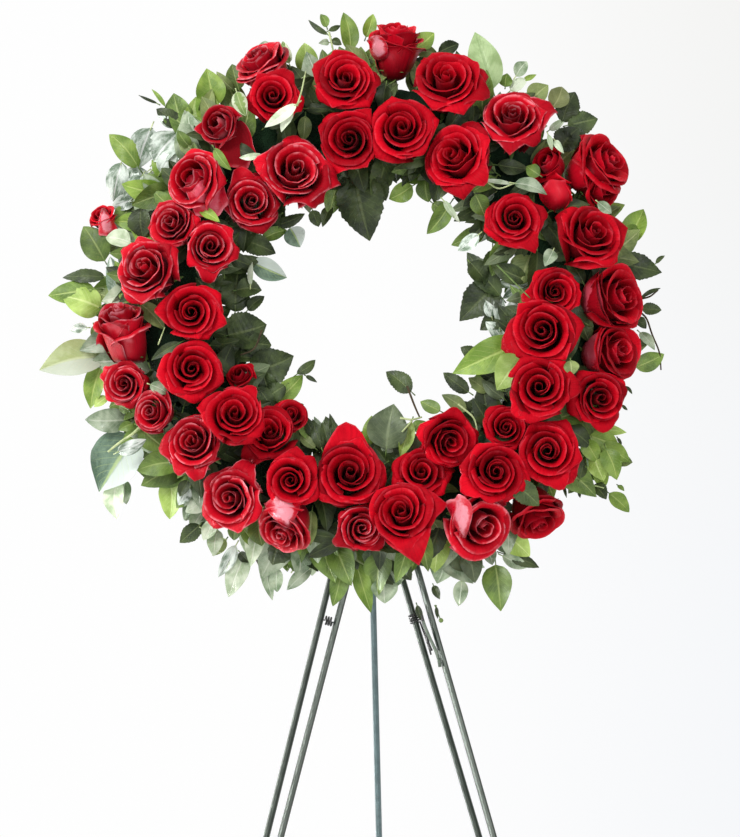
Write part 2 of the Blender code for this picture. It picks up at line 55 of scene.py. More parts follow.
BLOOMS = {   # node: centre a, b, w and facing a, b, w in the ring's frame (mm), radius (mm)
    "top_01": (-103.4, 251.0, 49.4, -0.45, 0.70, 0.55, 31.4),
    "top_02": (-93.2, 211.0, 87.5, 0.02, 0.06, 1.00, 27.5),
    "top_03": (-20.6, 227.3, 79.3, 0.09, 0.18, 0.98, 32.4),
    "top_04": (30.3, 268.0, 50.8, 0.12, 0.90, 0.42, 29.7),
    "top_05": (81.7, 223.6, 75.2, -0.01, 0.43, 0.90, 38.1),
    "top_06": (-16.4, 167.9, 76.1, -0.10, -0.07, 0.99, 33.2),
    "top_07": (35.9, 173.5, 89.5, -0.03, 0.16, 0.99, 35.0),
    "top_08": (91.6, 145.1, 87.5, -0.40, 0.20, 0.90, 37.0),
    "top_09": (147.1, 182.9, 76.2, -0.01, 0.47, 0.88, 35.2),
    "top_10": (-147.4, 186.0, 74.9, -0.42, 0.18, 0.89, 23.9),
    "left_01": (-72.5, 133.3, 84.3, 0.16, 0.20, 0.97, 37.4),
    "left_02": (-117.8, 106.7, 73.9, 0.14, 0.04, 0.99, 30.1),
    "left_03": (-170.8, 126.2, 94.0, -0.50, 0.16, 0.85, 32.2),
    "left_04": (-194.5, 85.4, 75.1, -0.37, 0.12, 0.92, 27.3),
    "left_05": (-158.0, 59.9, 85.9, 0.13, 0.06, 0.99, 27.5),
    "left_06": (-218.9, 36.9, 85.4, -0.36, 0.26, 0.89, 35.5),
    "left_07": (-177.0, -4.8, 86.2, 0.03, -0.04, 1.00, 31.4),
    "left_08": (-247.5, -22.1, 60.2, -0.16, 0.84, 0.52, 28.8),
    "left_09": (-177.9, -63.4, 90.9, 0.11, 0.01, 0.99, 31.4),
    "left_10": (-246.0, -72.0, 56.7, -0.22, -0.08, 0.97, 23.9),
    "left_11": (-215.1, -103.6, 73.5, -0.50, 0.05, 0.86, 23.0),
    "left_12": (-135.2, -111.2, 98.1, 0.08, 0.21, 0.97, 31.8),
    "left_13": (-174.7, -136.6, 85.1, -0.26, 0.19, 0.95, 32.0),
    "bottom_01": (-102.0, -127.7, 68.7, -0.00, 0.30, 0.95, 30.0),
    "bottom_02": (-138.2, -190.2, 79.3, -0.30, -0.10, 0.95, 32.6),
    "bottom_03": (-79.9, -175.3, 88.9, -0.09, -0.09, 0.99, 28.6),
    "bottom_04": (-85.8, -217.8, 72.8, -0.42, -0.66, 0.62, 29.9),
    "bottom_05": (-23.0, -169.8, 80.3, 0.08, 0.15, 0.98, 37.1),
    "bottom_06": (-13.6, -222.7, 75.1, 0.28, -0.05, 0.96, 25.7),
    "bottom_07": (29.1, -212.0, 94.2, -0.11, 0.23, 0.97, 36.3),
    "bottom_08": (75.0, -137.3, 88.9, 0.30, -0.28, 0.91, 30.5),
    "bottom_09": (48.8, -170.5, 73.2, 0.04, 0.23, 0.97, 29.2),
    "bottom_10": (121.1, -171.5, 98.1, 0.11, -0.01, 0.99, 32.6),
    "bottom_11": (103.6, -219.1, 73.8, 0.42, -0.32, 0.85, 35.8),
    "right_01": (133.3, -126.1, 74.2, 0.08, 0.08, 0.99, 24.4),
    "right_02": (174.0, -150.3, 79.8, -0.00, -0.03, 1.00, 33.3),
    "right_03": (162.1, -208.5, 51.0, 0.30, -0.84, 0.45, 32.2),
    "right_04": (167.2, -88.4, 95.6, -0.04, 0.03, 1.00, 35.9),
    "right_05": (172.6, -30.9, 90.8, -0.17, 0.00, 0.99, 35.7),
    "right_06": (184.9, 10.2, 75.8, 0.08, -0.04, 1.00, 26.5),
    "right_07": (146.3, 82.7, 83.9, 0.01, -0.00, 1.00, 29.8),
    "right_08": (221.4, 63.5, 79.1, 0.35, 0.38, 0.86, 35.9),
    "right_09": (232.1, 140.4, 53.5, 0.72, 0.34, 0.60, 35.4),
    "right_10": (243.0, 2.7, 61.6, 0.72, 0.10, 0.68, 37.8),
    "right_11": (239.8, -48.6, 56.6, 0.72, 0.05, 0.69, 33.6),
    "right_12": (226.0, -95.9, 65.7, 0.27, -0.10, 0.96, 30.1),
}
# petal sorts 3 and 4 carry a painted highlight pool
FLAPS = [   # head, sort of petal, tone, then five rows of five points a, b, w (mm)
    ("bottom_11", 3, .74, [87.5, -235.2, 87.3, 88.5, -235.4, 92.7, 89.6, -235.5, 94.8, 90.7, -235.4, 94.3, 91.8, -235.1, 91.3, 83.5, -227.8, 91.6, 86.1, -226.9, 97.9, 88.7, -226.5, 100.8, 91.4, -226.6, 101.1, 94.2, -227.3, 99.1, 79.6, -220, 91.7, 83.6, -218.1, 99.4, 87.8, -217.3, 103.1, 92.2, -217.7, 104.2, 96.7, -219.3, 102.9, 76.8, -212.1, 89.2, 81.8, -209.1, 98.1, 87.1, -207.9, 102.4, 92.5, -208.6, 104.3, 98.2, -211.2, 104, 76.1, -203.7, 85.3, 81.1, -199.7, 93.7, 86.3, -198.1, 98.3, 91.8, -199.3, 101.2, 97.5, -203.2, 102.6]),
    ("bottom_04", 3, .74, [-86.9, -222.2, 94.5, -85.3, -222, 96.8, -83.7, -221.8, 97.5, -82.2, -221.4, 96.6, -80.7, -220.9, 94.1, -92.7, -217.2, 95.3, -88.9, -215.9, 98.3, -85, -214.9, 99.1, -81.2, -214.4, 97.9, -77.3, -214.1, 94.4, -98.6, -212.1, 93.5, -92.6, -209.6, 97.8, -86.4, -208, 98.8, -80.2, -207.2, 97.1, -73.9, -207.1, 92, -103.1, -206.5, 89.3, -95.6, -203.1, 95.1, -87.9, -200.8, 96.4, -80.1, -199.9, 94.2, -72.2, -200.2, 87.1, -104.6, -200.1, 83.5, -97.2, -195.9, 89.7, -89.5, -193.4, 90.8, -81.7, -192.8, 88.6, -73.6, -193.7, 80]),
    ("top_04", 3, .70, [8.8, 255.6, 54.4, 11.7, 253.9, 57.1, 14.6, 252.9, 62.9, 17.4, 252.9, 64.5, 20.2, 253.4, 63.7, 5.7, 260.1, 54.4, 9.8, 258.3, 62.6, 13.9, 257.6, 68.5, 18.1, 257.4, 70.5, 22.2, 257.3, 69.9, 4.2, 264.8, 54.4, 8.8, 263.1, 66.2, 13.3, 262.7, 71.9, 17.9, 262.3, 74, 22.6, 261.6, 73.5, 3.7, 269.7, 54.4, 8.2, 268.3, 68.4, 12.7, 268.2, 73.8, 17.3, 267.6, 75.9, 22, 266.1, 75.7, 4.3, 273.2, 58.9, 8.1, 273.8, 69.6, 12, 274.1, 74.2, 16.1, 273.1, 76.4, 20.4, 270.9, 76.6]),
    ("left_03", 4, .66, [-154.2, 139, 95.3, -160.5, 137.1, 95.3, -166.9, 135.3, 95.4, -172.9, 132.4, 100.6, -179.7, 131.5, 95.6, -147.3, 132.2, 93.6, -155.6, 128.6, 93.4, -163.3, 123.3, 106.2, -171.9, 121, 107.2, -181.5, 121, 99.5, -144, 124.3, 92, -152.5, 119.5, 91.5, -160.5, 113.7, 105, -169.7, 111.5, 106.2, -179.9, 112.3, 99.9, -142.4, 116, 90.7, -150.2, 110.2, 90.7, -158.2, 105.2, 96.8, -167, 103.2, 100.1, -177, 104.8, 95.8, -142.9, 106.9, 90.7, -149, 100.5, 90.7, -155.9, 96.9, 90.7, -163.6, 96.2, 90.7, -172.1, 98.4, 90.7]),
    ("top_10", 4, .56, [-126.7, 191.4, 74.9, -133.2, 189.5, 74.8, -139.6, 187.7, 74.8, -145.6, 184.4, 81.5, -152.3, 183.3, 77.9, -119.8, 184.6, 73.2, -128.2, 180.9, 72.8, -136.8, 178, 72.7, -145.6, 175.6, 74, -154.7, 174.4, 73.1, -116.5, 176.6, 72.5, -125, 171.8, 72.5, -134, 168.4, 72.5, -143.4, 166.5, 72.5, -153.2, 165.9, 72.5, -114.8, 168.2, 72.5, -122.7, 162.4, 72.5, -131.2, 158.8, 72.5, -140.4, 157.3, 72.5, -150.1, 157.9, 72.5, -115.4, 159.2, 72.5, -121.5, 152.7, 72.5, -128.4, 149.1, 72.5, -136.2, 148.4, 72.5, -144.8, 150.6, 72.5]),
    ("tucked_right_low", 1, .80, [187.4, 94.7, 64.4, 191.2, 95.7, 64.4, 195, 96.7, 67.7, 199.1, 98.6, 66.7, 203.4, 101.4, 64.4, 181.5, 98.3, 64.4, 186.4, 99.2, 72.6, 192, 101.4, 76.1, 197.9, 103.8, 75.5, 204.4, 106.9, 68.6, 177.8, 102.1, 64.4, 183.1, 104.2, 76.3, 189.2, 106.9, 79.8, 195.8, 109.3, 79.3, 203.2, 111.8, 73.5, 175.4, 106.6, 68.3, 180.5, 109.9, 77.7, 186.5, 112.8, 81, 193.2, 115, 80.7, 200.8, 116.6, 76, 174.6, 112.1, 70.9, 178.8, 116.2, 77.2, 183.9, 119.2, 79.7, 190, 120.7, 79.9, 197, 120.9, 77.3]),
    ("bud_left", 3, .80, [-268.8, 111.7, 34.9, -269.3, 111, 38.1, -270, 110.7, 39.1, -270.8, 110.6, 38.7, -271.9, 110.8, 36.7, -264.9, 105.9, 39.4, -266.5, 104.3, 41.9, -268.4, 103.5, 42.9, -270.4, 103.4, 42.8, -272.7, 104, 41.5, -261.6, 101, 38.2, -264.2, 98.5, 41.2, -267.2, 97.2, 42.5, -270.5, 97, 42.6, -274.1, 98.1, 41.5, -259.4, 96.6, 33.6, -262.6, 93.1, 37.4, -266.4, 91.3, 38.9, -270.4, 91.2, 39.4, -274.9, 92.8, 38.7, -259, 92.2, 31.8, -262.5, 88.6, 31.8, -266.3, 86.9, 31.8, -270.5, 87.1, 31.8, -274.6, 88.5, 31.8]),
]
LEAVES = {   # sort, stalk end a, b, tip a, b, width, depth w (mm)
    "top_left": [
        ("D", -215, 221, -234, 230, 3, 24), ("B", -207, 218, -221, 237, 4, 24), ("G", -188, 193, -199, 233, 29, 24), ("D", -187, 193, -217, 217, 17, 24),
        ("Z", -194, 197, -215, 208, 9, 24), ("K", -182, 185, -175, 227, 15, 24), ("B", -157, 217, -164, 256, 29, 24), ("Y", -171, 205, -158, 234, 14, 24),
        ("D", -179, 182, -175, 210, 13, 24), ("G", -180, 169, -192, 186, 11, 55), ("Y", -172, 163, -192, 175, 14, 55), ("B", -235, 154, -265, 191, 21, 24),
        ("Z", -221, 195, -236, 154, 28, 24), ("Z", -219, 160, -192, 191, 31, 24), ("Z", -212, 148, -194, 173, 19, 30), ("B", -207, 143, -221, 162, 11, 24),
        ("G", -206, 138, -233, 145, 15, 24), ("Z", -252, 160, -262, 121, 21, 24), ("Z", -239, 156, -252, 124, 15, 24), ("Z", -231, 146, -250, 118, 19, 24),
        ("Z", -241, 126, -205, 135, 14, 24), ("Y", -210, 115, -239, 125, 15, 24), ("Z", -238, 121, -264, 114, 15, 24), ("Z", -226, 151, -248, 136, 21, 20),
        ("W", -246, 135, -263, 131, 14, 18), ("G", -244, 111, -261, 99, 17, 24), ("D", -231, 109, -229, 78, 25, 45), ("G", -270, 58, -292, 95, 27, 24),
        ("W", -242, 74, -268, 81, 19, 40), ("Y", -252, 70, -273, 77, 12, 24), ("G", -152, 158, -136, 136, 9, 98), ("B", -168, 97, -148, 85, 9, 95),
        ("W", -105, 152, -128, 151, 6, 92),
    ],
    "left": [
        ("D", -270, 42, -315, 44, 14, 24), ("G", -280, 29, -328, 24, 23, 24), ("K", -274, 10, -315, 23, 29, 24), ("Y", -262, 18, -289, 29, 14, 24),
        ("Z", -254, 16, -264, 61, 19, 35), ("B", -239, 14, -255, 21, 8, 50), ("Z", -288, -10, -306, -12, 9, 24), ("Y", -282, -8, -280, -30, 7, 24),
        ("H", -271, -39, -338, -52, 35, 24), ("B", -272, -45, -287, -92, 21, 24), ("K", -269, -81, -282, -91, 9, 24), ("S", -246, -105, -291, -104, 23, 24),
        ("G", -244, -99, -256, -92, 9, 45), ("G", -241, -111, -255, -118, 9, 45), ("Y", -231, 9, -207, -18, 17, 60), ("D", -189, -35, -218, -52, 9, 88),
        ("S", -220, -76, -202, -85, 11, 80), ("G", -221, -95, -208, -88, 10, 70), ("D", -253, -14, -271, -16, 17, 30),
    ],
    "bottom_left": [
        ("W", -168, -189, -189, -201, 15, 40), ("W", -163, -209, -172, -229, 14, 30), ("Z", -184, -177, -196, -194, 13, 45), ("W", -158, -218, -162, -245, 15, 24),
        ("Z", -255, -141, -226, -129, 14, 60), ("P", -241, -121, -279, -177, 52, 22), ("G", -233, -116, -205, -139, 23, 55), ("G", -194, -151, -238, -158, 25, 45),
        ("K", -206, -165, -207, -206, 23, 22), ("D", -185, -170, -194, -186, 10, 50), ("W", -260, -165, -261, -205, 21, 12), ("S", -253, -165, -251, -190, 13, 12),
        ("W", -171, -196, -186, -217, 17, 22), ("S", -176, -169, -174, -199, 12, 45), ("S", -186, -182, -192, -208, 9, 22), ("D", -176, -213, -196, -231, 17, 22),
        ("D", -166, -210, -180, -222, 9, 22), ("G", -139, -215, -142, -229, 12, 22), ("G", -132, -218, -116, -239, 13, 45), ("G", -116, -212, -112, -237, 21, 50),
        ("D", -90, -225, -104, -259, 33, 22), ("Z", -140, -234, -158, -266, 13, 22), ("W", -130, -241, -148, -286, 21, 22), ("S", -111, -244, -103, -290, 11, 22),
        ("S", -98, -258, -99, -282, 12, 22), ("D", -136, -241, -125, -252, 9, 22), ("S", -120, -229, -129, -255, 14, 20), ("Y", -150, -228, -164, -244, 10, 20),
    ],
    "bottom": [
        ("S", -64, -258, -89, -280, 13, 18), ("W", -53, -230, -44, -243, 5, 18), ("W", -79, -235, -71, -243, 9, 18), ("D", -65, -245, -44, -248, 9, 18),
        ("S", -53, -245, -43, -250, 7, 18), ("Y", -61, -203, -64, -238, 13, 60), ("D", -37, -235, -30, -271, 19, 18), ("G", -33, -256, -43, -297, 18, 18),
        ("S", -22, -239, -29, -257, 11, 18), ("D", -23, -251, -15, -271, 11, 18), ("B", -19, -254, -4, -304, 17, 18), ("S", -4, -240, -7, -257, 12, 18),
        ("S", 1, -241, 27, -276, 13, 18), ("D", -3, -259, 20, -277, 14, 18), ("S", 10, -270, 10, -295, 25, 18), ("D", 16, -241, 37, -272, 21, 18),
        ("G", 48, -237, 66, -252, 14, 18), ("S", 71, -242, 63, -276, 29, 18), ("M", 81, -242, 96, -265, 21, 18), ("M", 95, -241, 101, -276, 21, 18),
        ("S", 88, -273, 84, -299, 14, 18), ("D", 59, -278, 65, -292, 7, 18), ("G", 122, -258, 126, -305, 28, 18), ("K", 132, -228, 157, -250, 23, 18),
        ("G", 152, -223, 165, -232, 7, 18), ("S", 122, -233, 142, -246, 12, 18), ("D", 130, -247, 167, -261, 13, 18), ("S", 129, -249, 155, -261, 12, 18),
        ("S", 112, -241, 119, -258, 14, 18), ("Y", 59, -215, 74, -235, 14, 60), ("D", -75, -238, -57, -262, 14, 20), ("D", 31, -237, 50, -258, 17, 20),
    ],
    "bottom_right": [
        ("K", 218, -123, 257, -127, 11, 22), ("B", 219, -131, 249, -144, 21, 40), ("B", 229, -141, 260, -157, 18, 34), ("K", 222, -148, 232, -177, 19, 46),
        ("B", 234, -145, 244, -177, 19, 50), ("B", 213, -136, 226, -159, 17, 50), ("D", 248, -132, 252, -140, 3, 22), ("B", 220, -134, 247, -172, 33, 22),
        ("Y", 248, -154, 262, -157, 11, 22), ("B", 227, -154, 232, -185, 15, 22), ("S", 216, -148, 220, -171, 6, 45), ("G", 209, -175, 197, -187, 8, 22),
        ("D", 223, -179, 235, -194, 15, 22), ("B", 238, -188, 259, -207, 15, 22), ("G", 247, -180, 253, -186, 4, 22), ("D", 208, -174, 212, -154, 8, 40),
        ("D", 192, -179, 195, -192, 3, 22), ("D", 208, -184, 209, -192, 3, 22), ("D", 138, -183, 164, -205, 23, 97), ("D", 127, -180, 151, -192, 14, 72),
    ],
    "right": [
        ("D", 234, 6, 225, 37, 25, 44), ("D", 231, -40, 228, -6, 25, 42), ("D", 217, 7, 229, 22, 21, 40), ("D", 221, -65, 231, -50, 19, 42),
        ("M", 237, 44, 228, 24, 17, 50), ("S", 229, 96, 243, 85, 9, 100), ("B", 260, 67, 280, 103, 25, 24), ("D", 247, 48, 298, 37, 28, 24),
        ("D", 291, 45, 301, 54, 4, 24), ("D", 274, 9, 296, 21, 4, 24), ("D", 276, -0, 296, -2, 12, 24), ("D", 270, -10, 280, -21, 9, 24),
        ("S", 273, -25, 288, -43, 9, 24), ("D", 268, -36, 281, -36, 7, 24), ("G", 268, -61, 298, -47, 18, 24), ("Y", 198, -62, 199, -77, 14, 105),
        ("S", 184, 50, 175, 33, 13, 95), ("D", 257, -80, 264, -88, 3, 24), ("D", 253, -99, 259, -104, 3, 24), ("G", 259, 81, 275, 73, 14, 30),
        ("D", 256, 8, 274, 1, 12, 30),
    ],
    "top_right": [
        ("D", 196, 161, 215, 184, 27, 40), ("D", 192, 172, 211, 165, 23, 38), ("D", 216, 162, 209, 191, 21, 34), ("Z", 110, 67, 89, 52, 13, 92),
        ("L", 129, 228, 112, 290, 32, 26), ("Y", 116, 247, 113, 261, 13, 26), ("G", 142, 231, 144, 244, 12, 26), ("S", 153, 241, 165, 258, 12, 26),
        ("W", 147, 227, 164, 239, 13, 26), ("B", 161, 238, 174, 243, 5, 26), ("Y", 167, 214, 186, 232, 21, 26), ("R", 189, 205, 200, 229, 21, 38),
        ("D", 199, 193, 214, 226, 25, 26), ("D", 205, 190, 236, 196, 25, 26), ("W", 186, 185, 203, 197, 7, 26), ("W", 182, 169, 186, 154, 5, 80),
        ("S", 189, 164, 197, 150, 6, 80), ("G", 173, 128, 160, 139, 12, 80), ("S", 147, 118, 179, 107, 14, 92), ("W", 118, 122, 147, 118, 4, 92),
        ("W", 76, 103, 92, 81, 6, 90), ("G", 108, 111, 117, 90, 18, 74),
    ],
    "top": [
        ("B", 51, 274, 70, 289, 19, 22), ("Y", 50, 270, 74, 269, 13, 22), ("D", 74, 269, 96, 279, 15, 22), ("B", -16, 273, -22, 313, 18, 22),
        ("B", 0, 286, 8, 310, 13, 22), ("K", -59, 248, -63, 281, 22, 22), ("D", -39, 290, -59, 307, 5, 22), ("G", -40, 297, -46, 312, 8, 22),
        ("D", -38, 294, -26, 300, 5, 22), ("S", -38, 282, -48, 280, 6, 22), ("D", -35, 284, -25, 278, 7, 22), ("G", -41, 249, -45, 274, 10, 22),
        ("S", -104, 271, -104, 286, 12, 22), ("V", -79, 260, -86, 285, 13, 22), ("V", -129, 215, -120, 190, 14, 100), ("G", -131, 234, -138, 261, 18, 22),
        ("Y", -137, 234, -154, 253, 9, 22), ("V", -62, 239, -67, 209, 9, 62), ("W", -69, 199, -101, 177, 10, 108), ("W", -74, 194, -85, 173, 9, 107),
        ("Y", -62, 197, -65, 172, 13, 60), ("G", 19, 278, 27, 294, 12, 20),
    ],
    "inner_right": [
        ("Y", 163, 52, 152, 22, 29, 50), ("D", 125, 60, 120, 11, 21, 38), ("Z", 123, -9, 117, 8, 9, 38), ("Z", 131, -18, 129, 19, 11, 38),
        ("Z", 146, -12, 145, 12, 11, 38), ("Z", 134, -32, 117, -13, 14, 38), ("B", 152, -38, 82, -68, 32, 60), ("K", 153, -58, 125, -89, 31, 92),
        ("Z", 130, -83, 121, -99, 20, 38), ("W", 110, -72, 124, -84, 7, 38), ("D", 129, 25, 90, -11, 35, 38), ("D", 132, 13, 99, 59, 23, 38),
        ("G", 117, 80, 84, 65, 17, 38), ("G", 83, 109, 59, 78, 18, 38), ("D", 40, -83, 15, -61, 20, 38), ("G", 69, -105, 49, -94, 12, 55),
        ("Y", 95, -105, 71, -87, 13, 50), ("D", 98, -86, 72, -65, 15, 50), ("Y", 117, -86, 98, -71, 13, 50), ("D", 105, -49, 91, -39, 12, 40),
        ("M", 14, -143, 22, -97, 39, 55), ("B", -2, -137, 0, -108, 13, 50), ("S", 9, -136, 21, -145, 9, 58), ("K", 40, -116, 28, -151, 14, 60),
        ("G", 41, -125, 54, -115, 10, 60), ("D", 102, 46, 118, 28, 21, 50), ("D", 137, -1, 111, -21, 21, 35), ("D", 133, 94, 120, 68, 23, 50),
    ],
    "inner_left": [
        ("D", -18, 147, -26, 122, 21, 40), ("D", -24, 139, -39, 125, 17, 38), ("D", -16, 143, -12, 119, 19, 36), ("D", -90, 100, -108, 89, 19, 40),
        ("D", 11, -162, 24, -140, 23, 45), ("D", 20, -154, 30, -132, 21, 40), ("D", 27, -163, 20, -139, 19, 48), ("D", -41, -146, -50, -121, 12, 46),
        ("D", -124, 110, -108, 93, 21, 42), ("D", -54, -140, -69, -106, 11, 52), ("D", -50, -142, -60, -110, 10, 58), ("D", -44, -140, -50, -114, 10, 54),
        ("D", -38, -138, -42, -105, 8, 50), ("D", -61, -137, -80, -123, 10, 48), ("D", -32, -133, -38, -113, 8, 60), ("D", -13, 139, 1, 73, 48, 38),
        ("G", -30, 135, -40, 98, 19, 38), ("D", -38, 109, -47, 87, 10, 38), ("D", -95, 90, -65, 101, 11, 38), ("G", -109, 75, -83, 86, 13, 38),
        ("P", -80, 87, -70, 67, 21, 38), ("D", -131, 75, -95, 61, 22, 38), ("P", -119, 52, -84, 36, 21, 38), ("D", -137, 2, -131, 54, 30, 38),
        ("W", -120, 26, -118, 50, 5, 55), ("D", -124, 3, -107, 17, 13, 38), ("D", -144, -22, -105, -11, 40, 38), ("D", -123, -60, -78, -44, 38, 38),
        ("D", -110, -60, -103, -88, 21, 38), ("B", -98, -91, -69, -63, 19, 38), ("D", -75, -63, -56, -48, 9, 38), ("D", -66, -65, -55, -72, 4, 38),
        ("D", -114, -78, -100, -102, 15, 55), ("G", -57, -131, -75, -110, 13, 50), ("Y", -57, -140, -74, -124, 9, 55), ("S", -51, -130, -58, -107, 8, 38),
        ("S", -48, -130, -48, -109, 6, 38), ("D", -38, -127, -47, -106, 9, 38), ("D", -17, -142, -7, -122, 12, 50), ("D", -135, 22, -109, 22, 21, 50),
        ("D", -127, -33, -100, -33, 23, 40), ("D", -87, -75, -110, -93, 19, 45), ("G", 61, 135, 31, 140, 18, 38), ("B", 45, 128, 21, 115, 19, 38),
        ("G", 58, 135, 61, 111, 18, 38), ("G", 65, 109, 83, 93, 14, 38), ("D", 7, 136, 18, 113, 17, 40), ("D", -57, 104, -51, 88, 12, 40),
    ],
}
TWIGS = [   # sort, radius, depth w, then a, b of its points (mm)
    ("P", 1.5, 62, -229.1, -113.4, -239.3, -123.2, -252.4, -131.1, -264.5, -140.9),
    ("P", 0.9, 30, -250.3, -113.8, -244.3, -123.0),
    ("P", 0.8, 80, -211.8, -36.2, -204.7, -18.2),
    ("P", 0.9, 25, -176.7, -215.1, -161.6, -223.5, -148.5, -228.8),
    ("W", 1.0, 15, -164.5, -236.0, -162.4, -230.9, -149.2, -231.2),
    ("D", 1.1, 12, -124.1, -240.5, -114.2, -259.0, -103.4, -285.5),
    ("P", 1.0, 15, -54.9, -226.7, -75.5, -249.7, -84.8, -262.7),
    ("W", 1.0, 18, -18.7, -250.8, -2.7, -260.2),
    ("P", 1.0, 30, 211.6, -178.9, 221.6, -180.1, 232.6, -183.3),
    ("D", 1.2, 20, 264.3, 8.9, 274.5, 9.7, 284.7, 11.6, 293.1, 18.6),
    ("D", 1.1, 20, 274.2, -3.6, 281.1, -9.9, 285.8, -27.4, 293.4, -45.0, 293.9, -63.4),
    ("G", 0.9, 92, 127.8, 36.3, 145.3, 17.8, 159.9, 2.5),
    ("W", 1.2, 62, 86.7, -99.0, 93.6, -105.1, 103.4, -113.3, 106.1, -130.5, 99.8, -147.5),
    ("W", 1.2, 70, 28.5, -112.8, 40.4, -115.1, 50.4, -112.2),
    ("W", 1.2, 70, 40.4, -116.1, 30.2, -126.9),
    ("D", 1.2, 45, 36.0, -77.9, 43.6, -99.3, 48.5, -110.6),
    ("D", 1.0, 55, -109.0, -19.6, -116.3, -39.8, -131.4, -44.6),
    ("W", 1.0, 90, 117.7, 122.6, 130.4, 112.3, 147.6, 119.0),
    ("P", 1.2, 25, -37.7, 291.8, -34.8, 278.1, -32.9, 265.5),
    ("P", 1.0, 104, -68.7, 198.6, -63.5, 214.7, -60.3, 229.9),
    ("G", 1.4, 15, -221.4, 197.3, -228.8, 174.5, -236.3, 147.5),
    ("P", 1.4, 15, -196.8, 184.3, -213.5, 163.7, -228.1, 145.3),
]
OPEN = {"top_06": .92, "top_10": .75, "left_04": .9, "left_11": .85, "bottom_06": .92, "right_01": .9, "right_06": .92}
# heads that face well away from the front and show broad outer petals
FORM = {"top_01": "goblet", "top_04": "goblet", "top_10": "cup", "left_03": "cup", "left_08": "goblet", "bottom_04": "goblet", "bottom_11": "goblet",
        "right_03": "goblet", "right_09": "goblet", "right_10": "goblet", "right_11": "goblet", "left_11": "goblet"}
# heads whose petal lips carry a stronger pale pink painted highlight
LIP_HIGHLIGHT_HEADS = {"top_01", "top_09", "top_10", "left_01", "left_02", "left_03", "left_04", "left_05", "left_06", "left_08", "left_10", "left_11", "left_13",
        "bottom_02", "bottom_04", "bottom_06", "bottom_11"}
TALL = {"top_04": 1.30, "left_08": 1.75, "right_09": 1.12, "bottom_04": 1.1}
TONE = {"top_06": .50, "top_02": .54, "left_02": .50, "left_01": .66, "left_06": .66, "left_13": .66, "bottom_02": .66, "left_03": .68,
        "right_09": .62, "bottom_11": .70, "top_04": .70, "bottom_04": .68, "left_08": .68}
SEED = {}
# directions, in degrees round the head from +a, in which single outer petals come to a long point
LOBES = {
    "bottom_05": ((92, 1.30), (-20, 1.06), (215, 1.04)), "bottom_07": ((-72, 1.22), (10, 1.06), (150, 1.04)),
    "right_05": ((200, 1.22), (5, 1.20), (-60, 1.08)), "top_07": ((215, 1.16), (15, 1.12), (105, 1.08)),
    "top_09": ((20, 1.08), (-95, 1.12)), "right_04": ((35, 1.12), (230, 1.06)), "left_07": ((170, 1.12), (30, 1.16), (-60, 1.1)),
    "top_05": ((10, 1.12), (-70, 1.10)), "top_03": ((150, 1.08), (-50, 1.10)), "top_08": ((40, 1.15), (-80, 1.16)),
    "left_09": ((190, 1.10), (-20, 1.10)), "right_08": ((150, 1.14), (-60, 1.16), (20, 1.08)), "right_02": ((-50, 1.08), (60, 1.05)),
    "left_12": ((160, 1.06), (-60, 1.12)), "bottom_10": ((-10, 1.10), (170, 1.05)), "bottom_09": ((205, 1.22), (-5, 1.08)),
    "left_02": ((70, 1.05), (-70, 1.14)), "right_07": ((200, 1.10), (-60, 1.05)), "bottom_03": ((-30, 1.05), (80, 1.05)),
}
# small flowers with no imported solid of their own: centre a, b, w, facing, radius (mm), openness, petals, form, tone
EXTRA = {
    "bud_left": (-271, 102, 30, -.35, .62, .70, 15, .60, 11, "goblet", .66),
    "tucked_right": (184, 143, 62, -.55, .35, .75, 21, .95, 8, "cup", .78),
    "tucked_right_low": (191, 112, 62, -.45, -.45, .77, 20, .95, 8, "cup", .80),
    "tucked_left": (-81.7, -108, 58, .1, .35, .90, 19, .80, 12, "goblet", .42),
    "tucked_left_low": (-130.2, -67.9, 64, -.2, .5, .80, 16, .9, 9, "cup", .38),
    "tucked_right_edge": (235.6, 119.2, 52, .70, -.30, .65, 24, .95, 10, "cup", .62),
    "tucked_bottom": (57, -152, 58, -.5, .3, .80, 18, .9, 9, "cup", .42),
}
# the direction round the head of the outer petal whose back carries a painted highlight pool
SHINE = {"right_10": 190, "right_11": 170, "bud_left": -60}
# small things caught in the right-hand tie, as ring-frame points (mm)
TIE_DARK = [(45.0, -301.5, 2.5), (47.4, -310.7, 3.0), (48.8, -317.8, 2.0), (51.7, -327.0, 1.0), (52.0, -334.1, 0.5), (55.9, -343.3, 1.0)]
TIE_GREY = [(46.4, -307.6, 2.0), (49.3, -317.8, 3.0), (54.6, -331.1, 3.0), (60.0, -342.3, 3.0), (62.9, -351.5, 2.0), (64.2, -359.6, 1.0)]
TIE_LEAVES = [((42.1, -296.9, 2.5), (46.8, -313.5, 3.0), 7, "D"), ((61.6, -299.0, 4.0), (62.9, -310.9, 3.0), 4, "D")]
BERRY_STEM = [(60.0, -297.0, 3.0), (62.7, -303.9, 3.5), (64.6, -309.5, 3.5), (66.1, -312.7, 3.5)]

# ---------------------------------------------------------------- mesh building

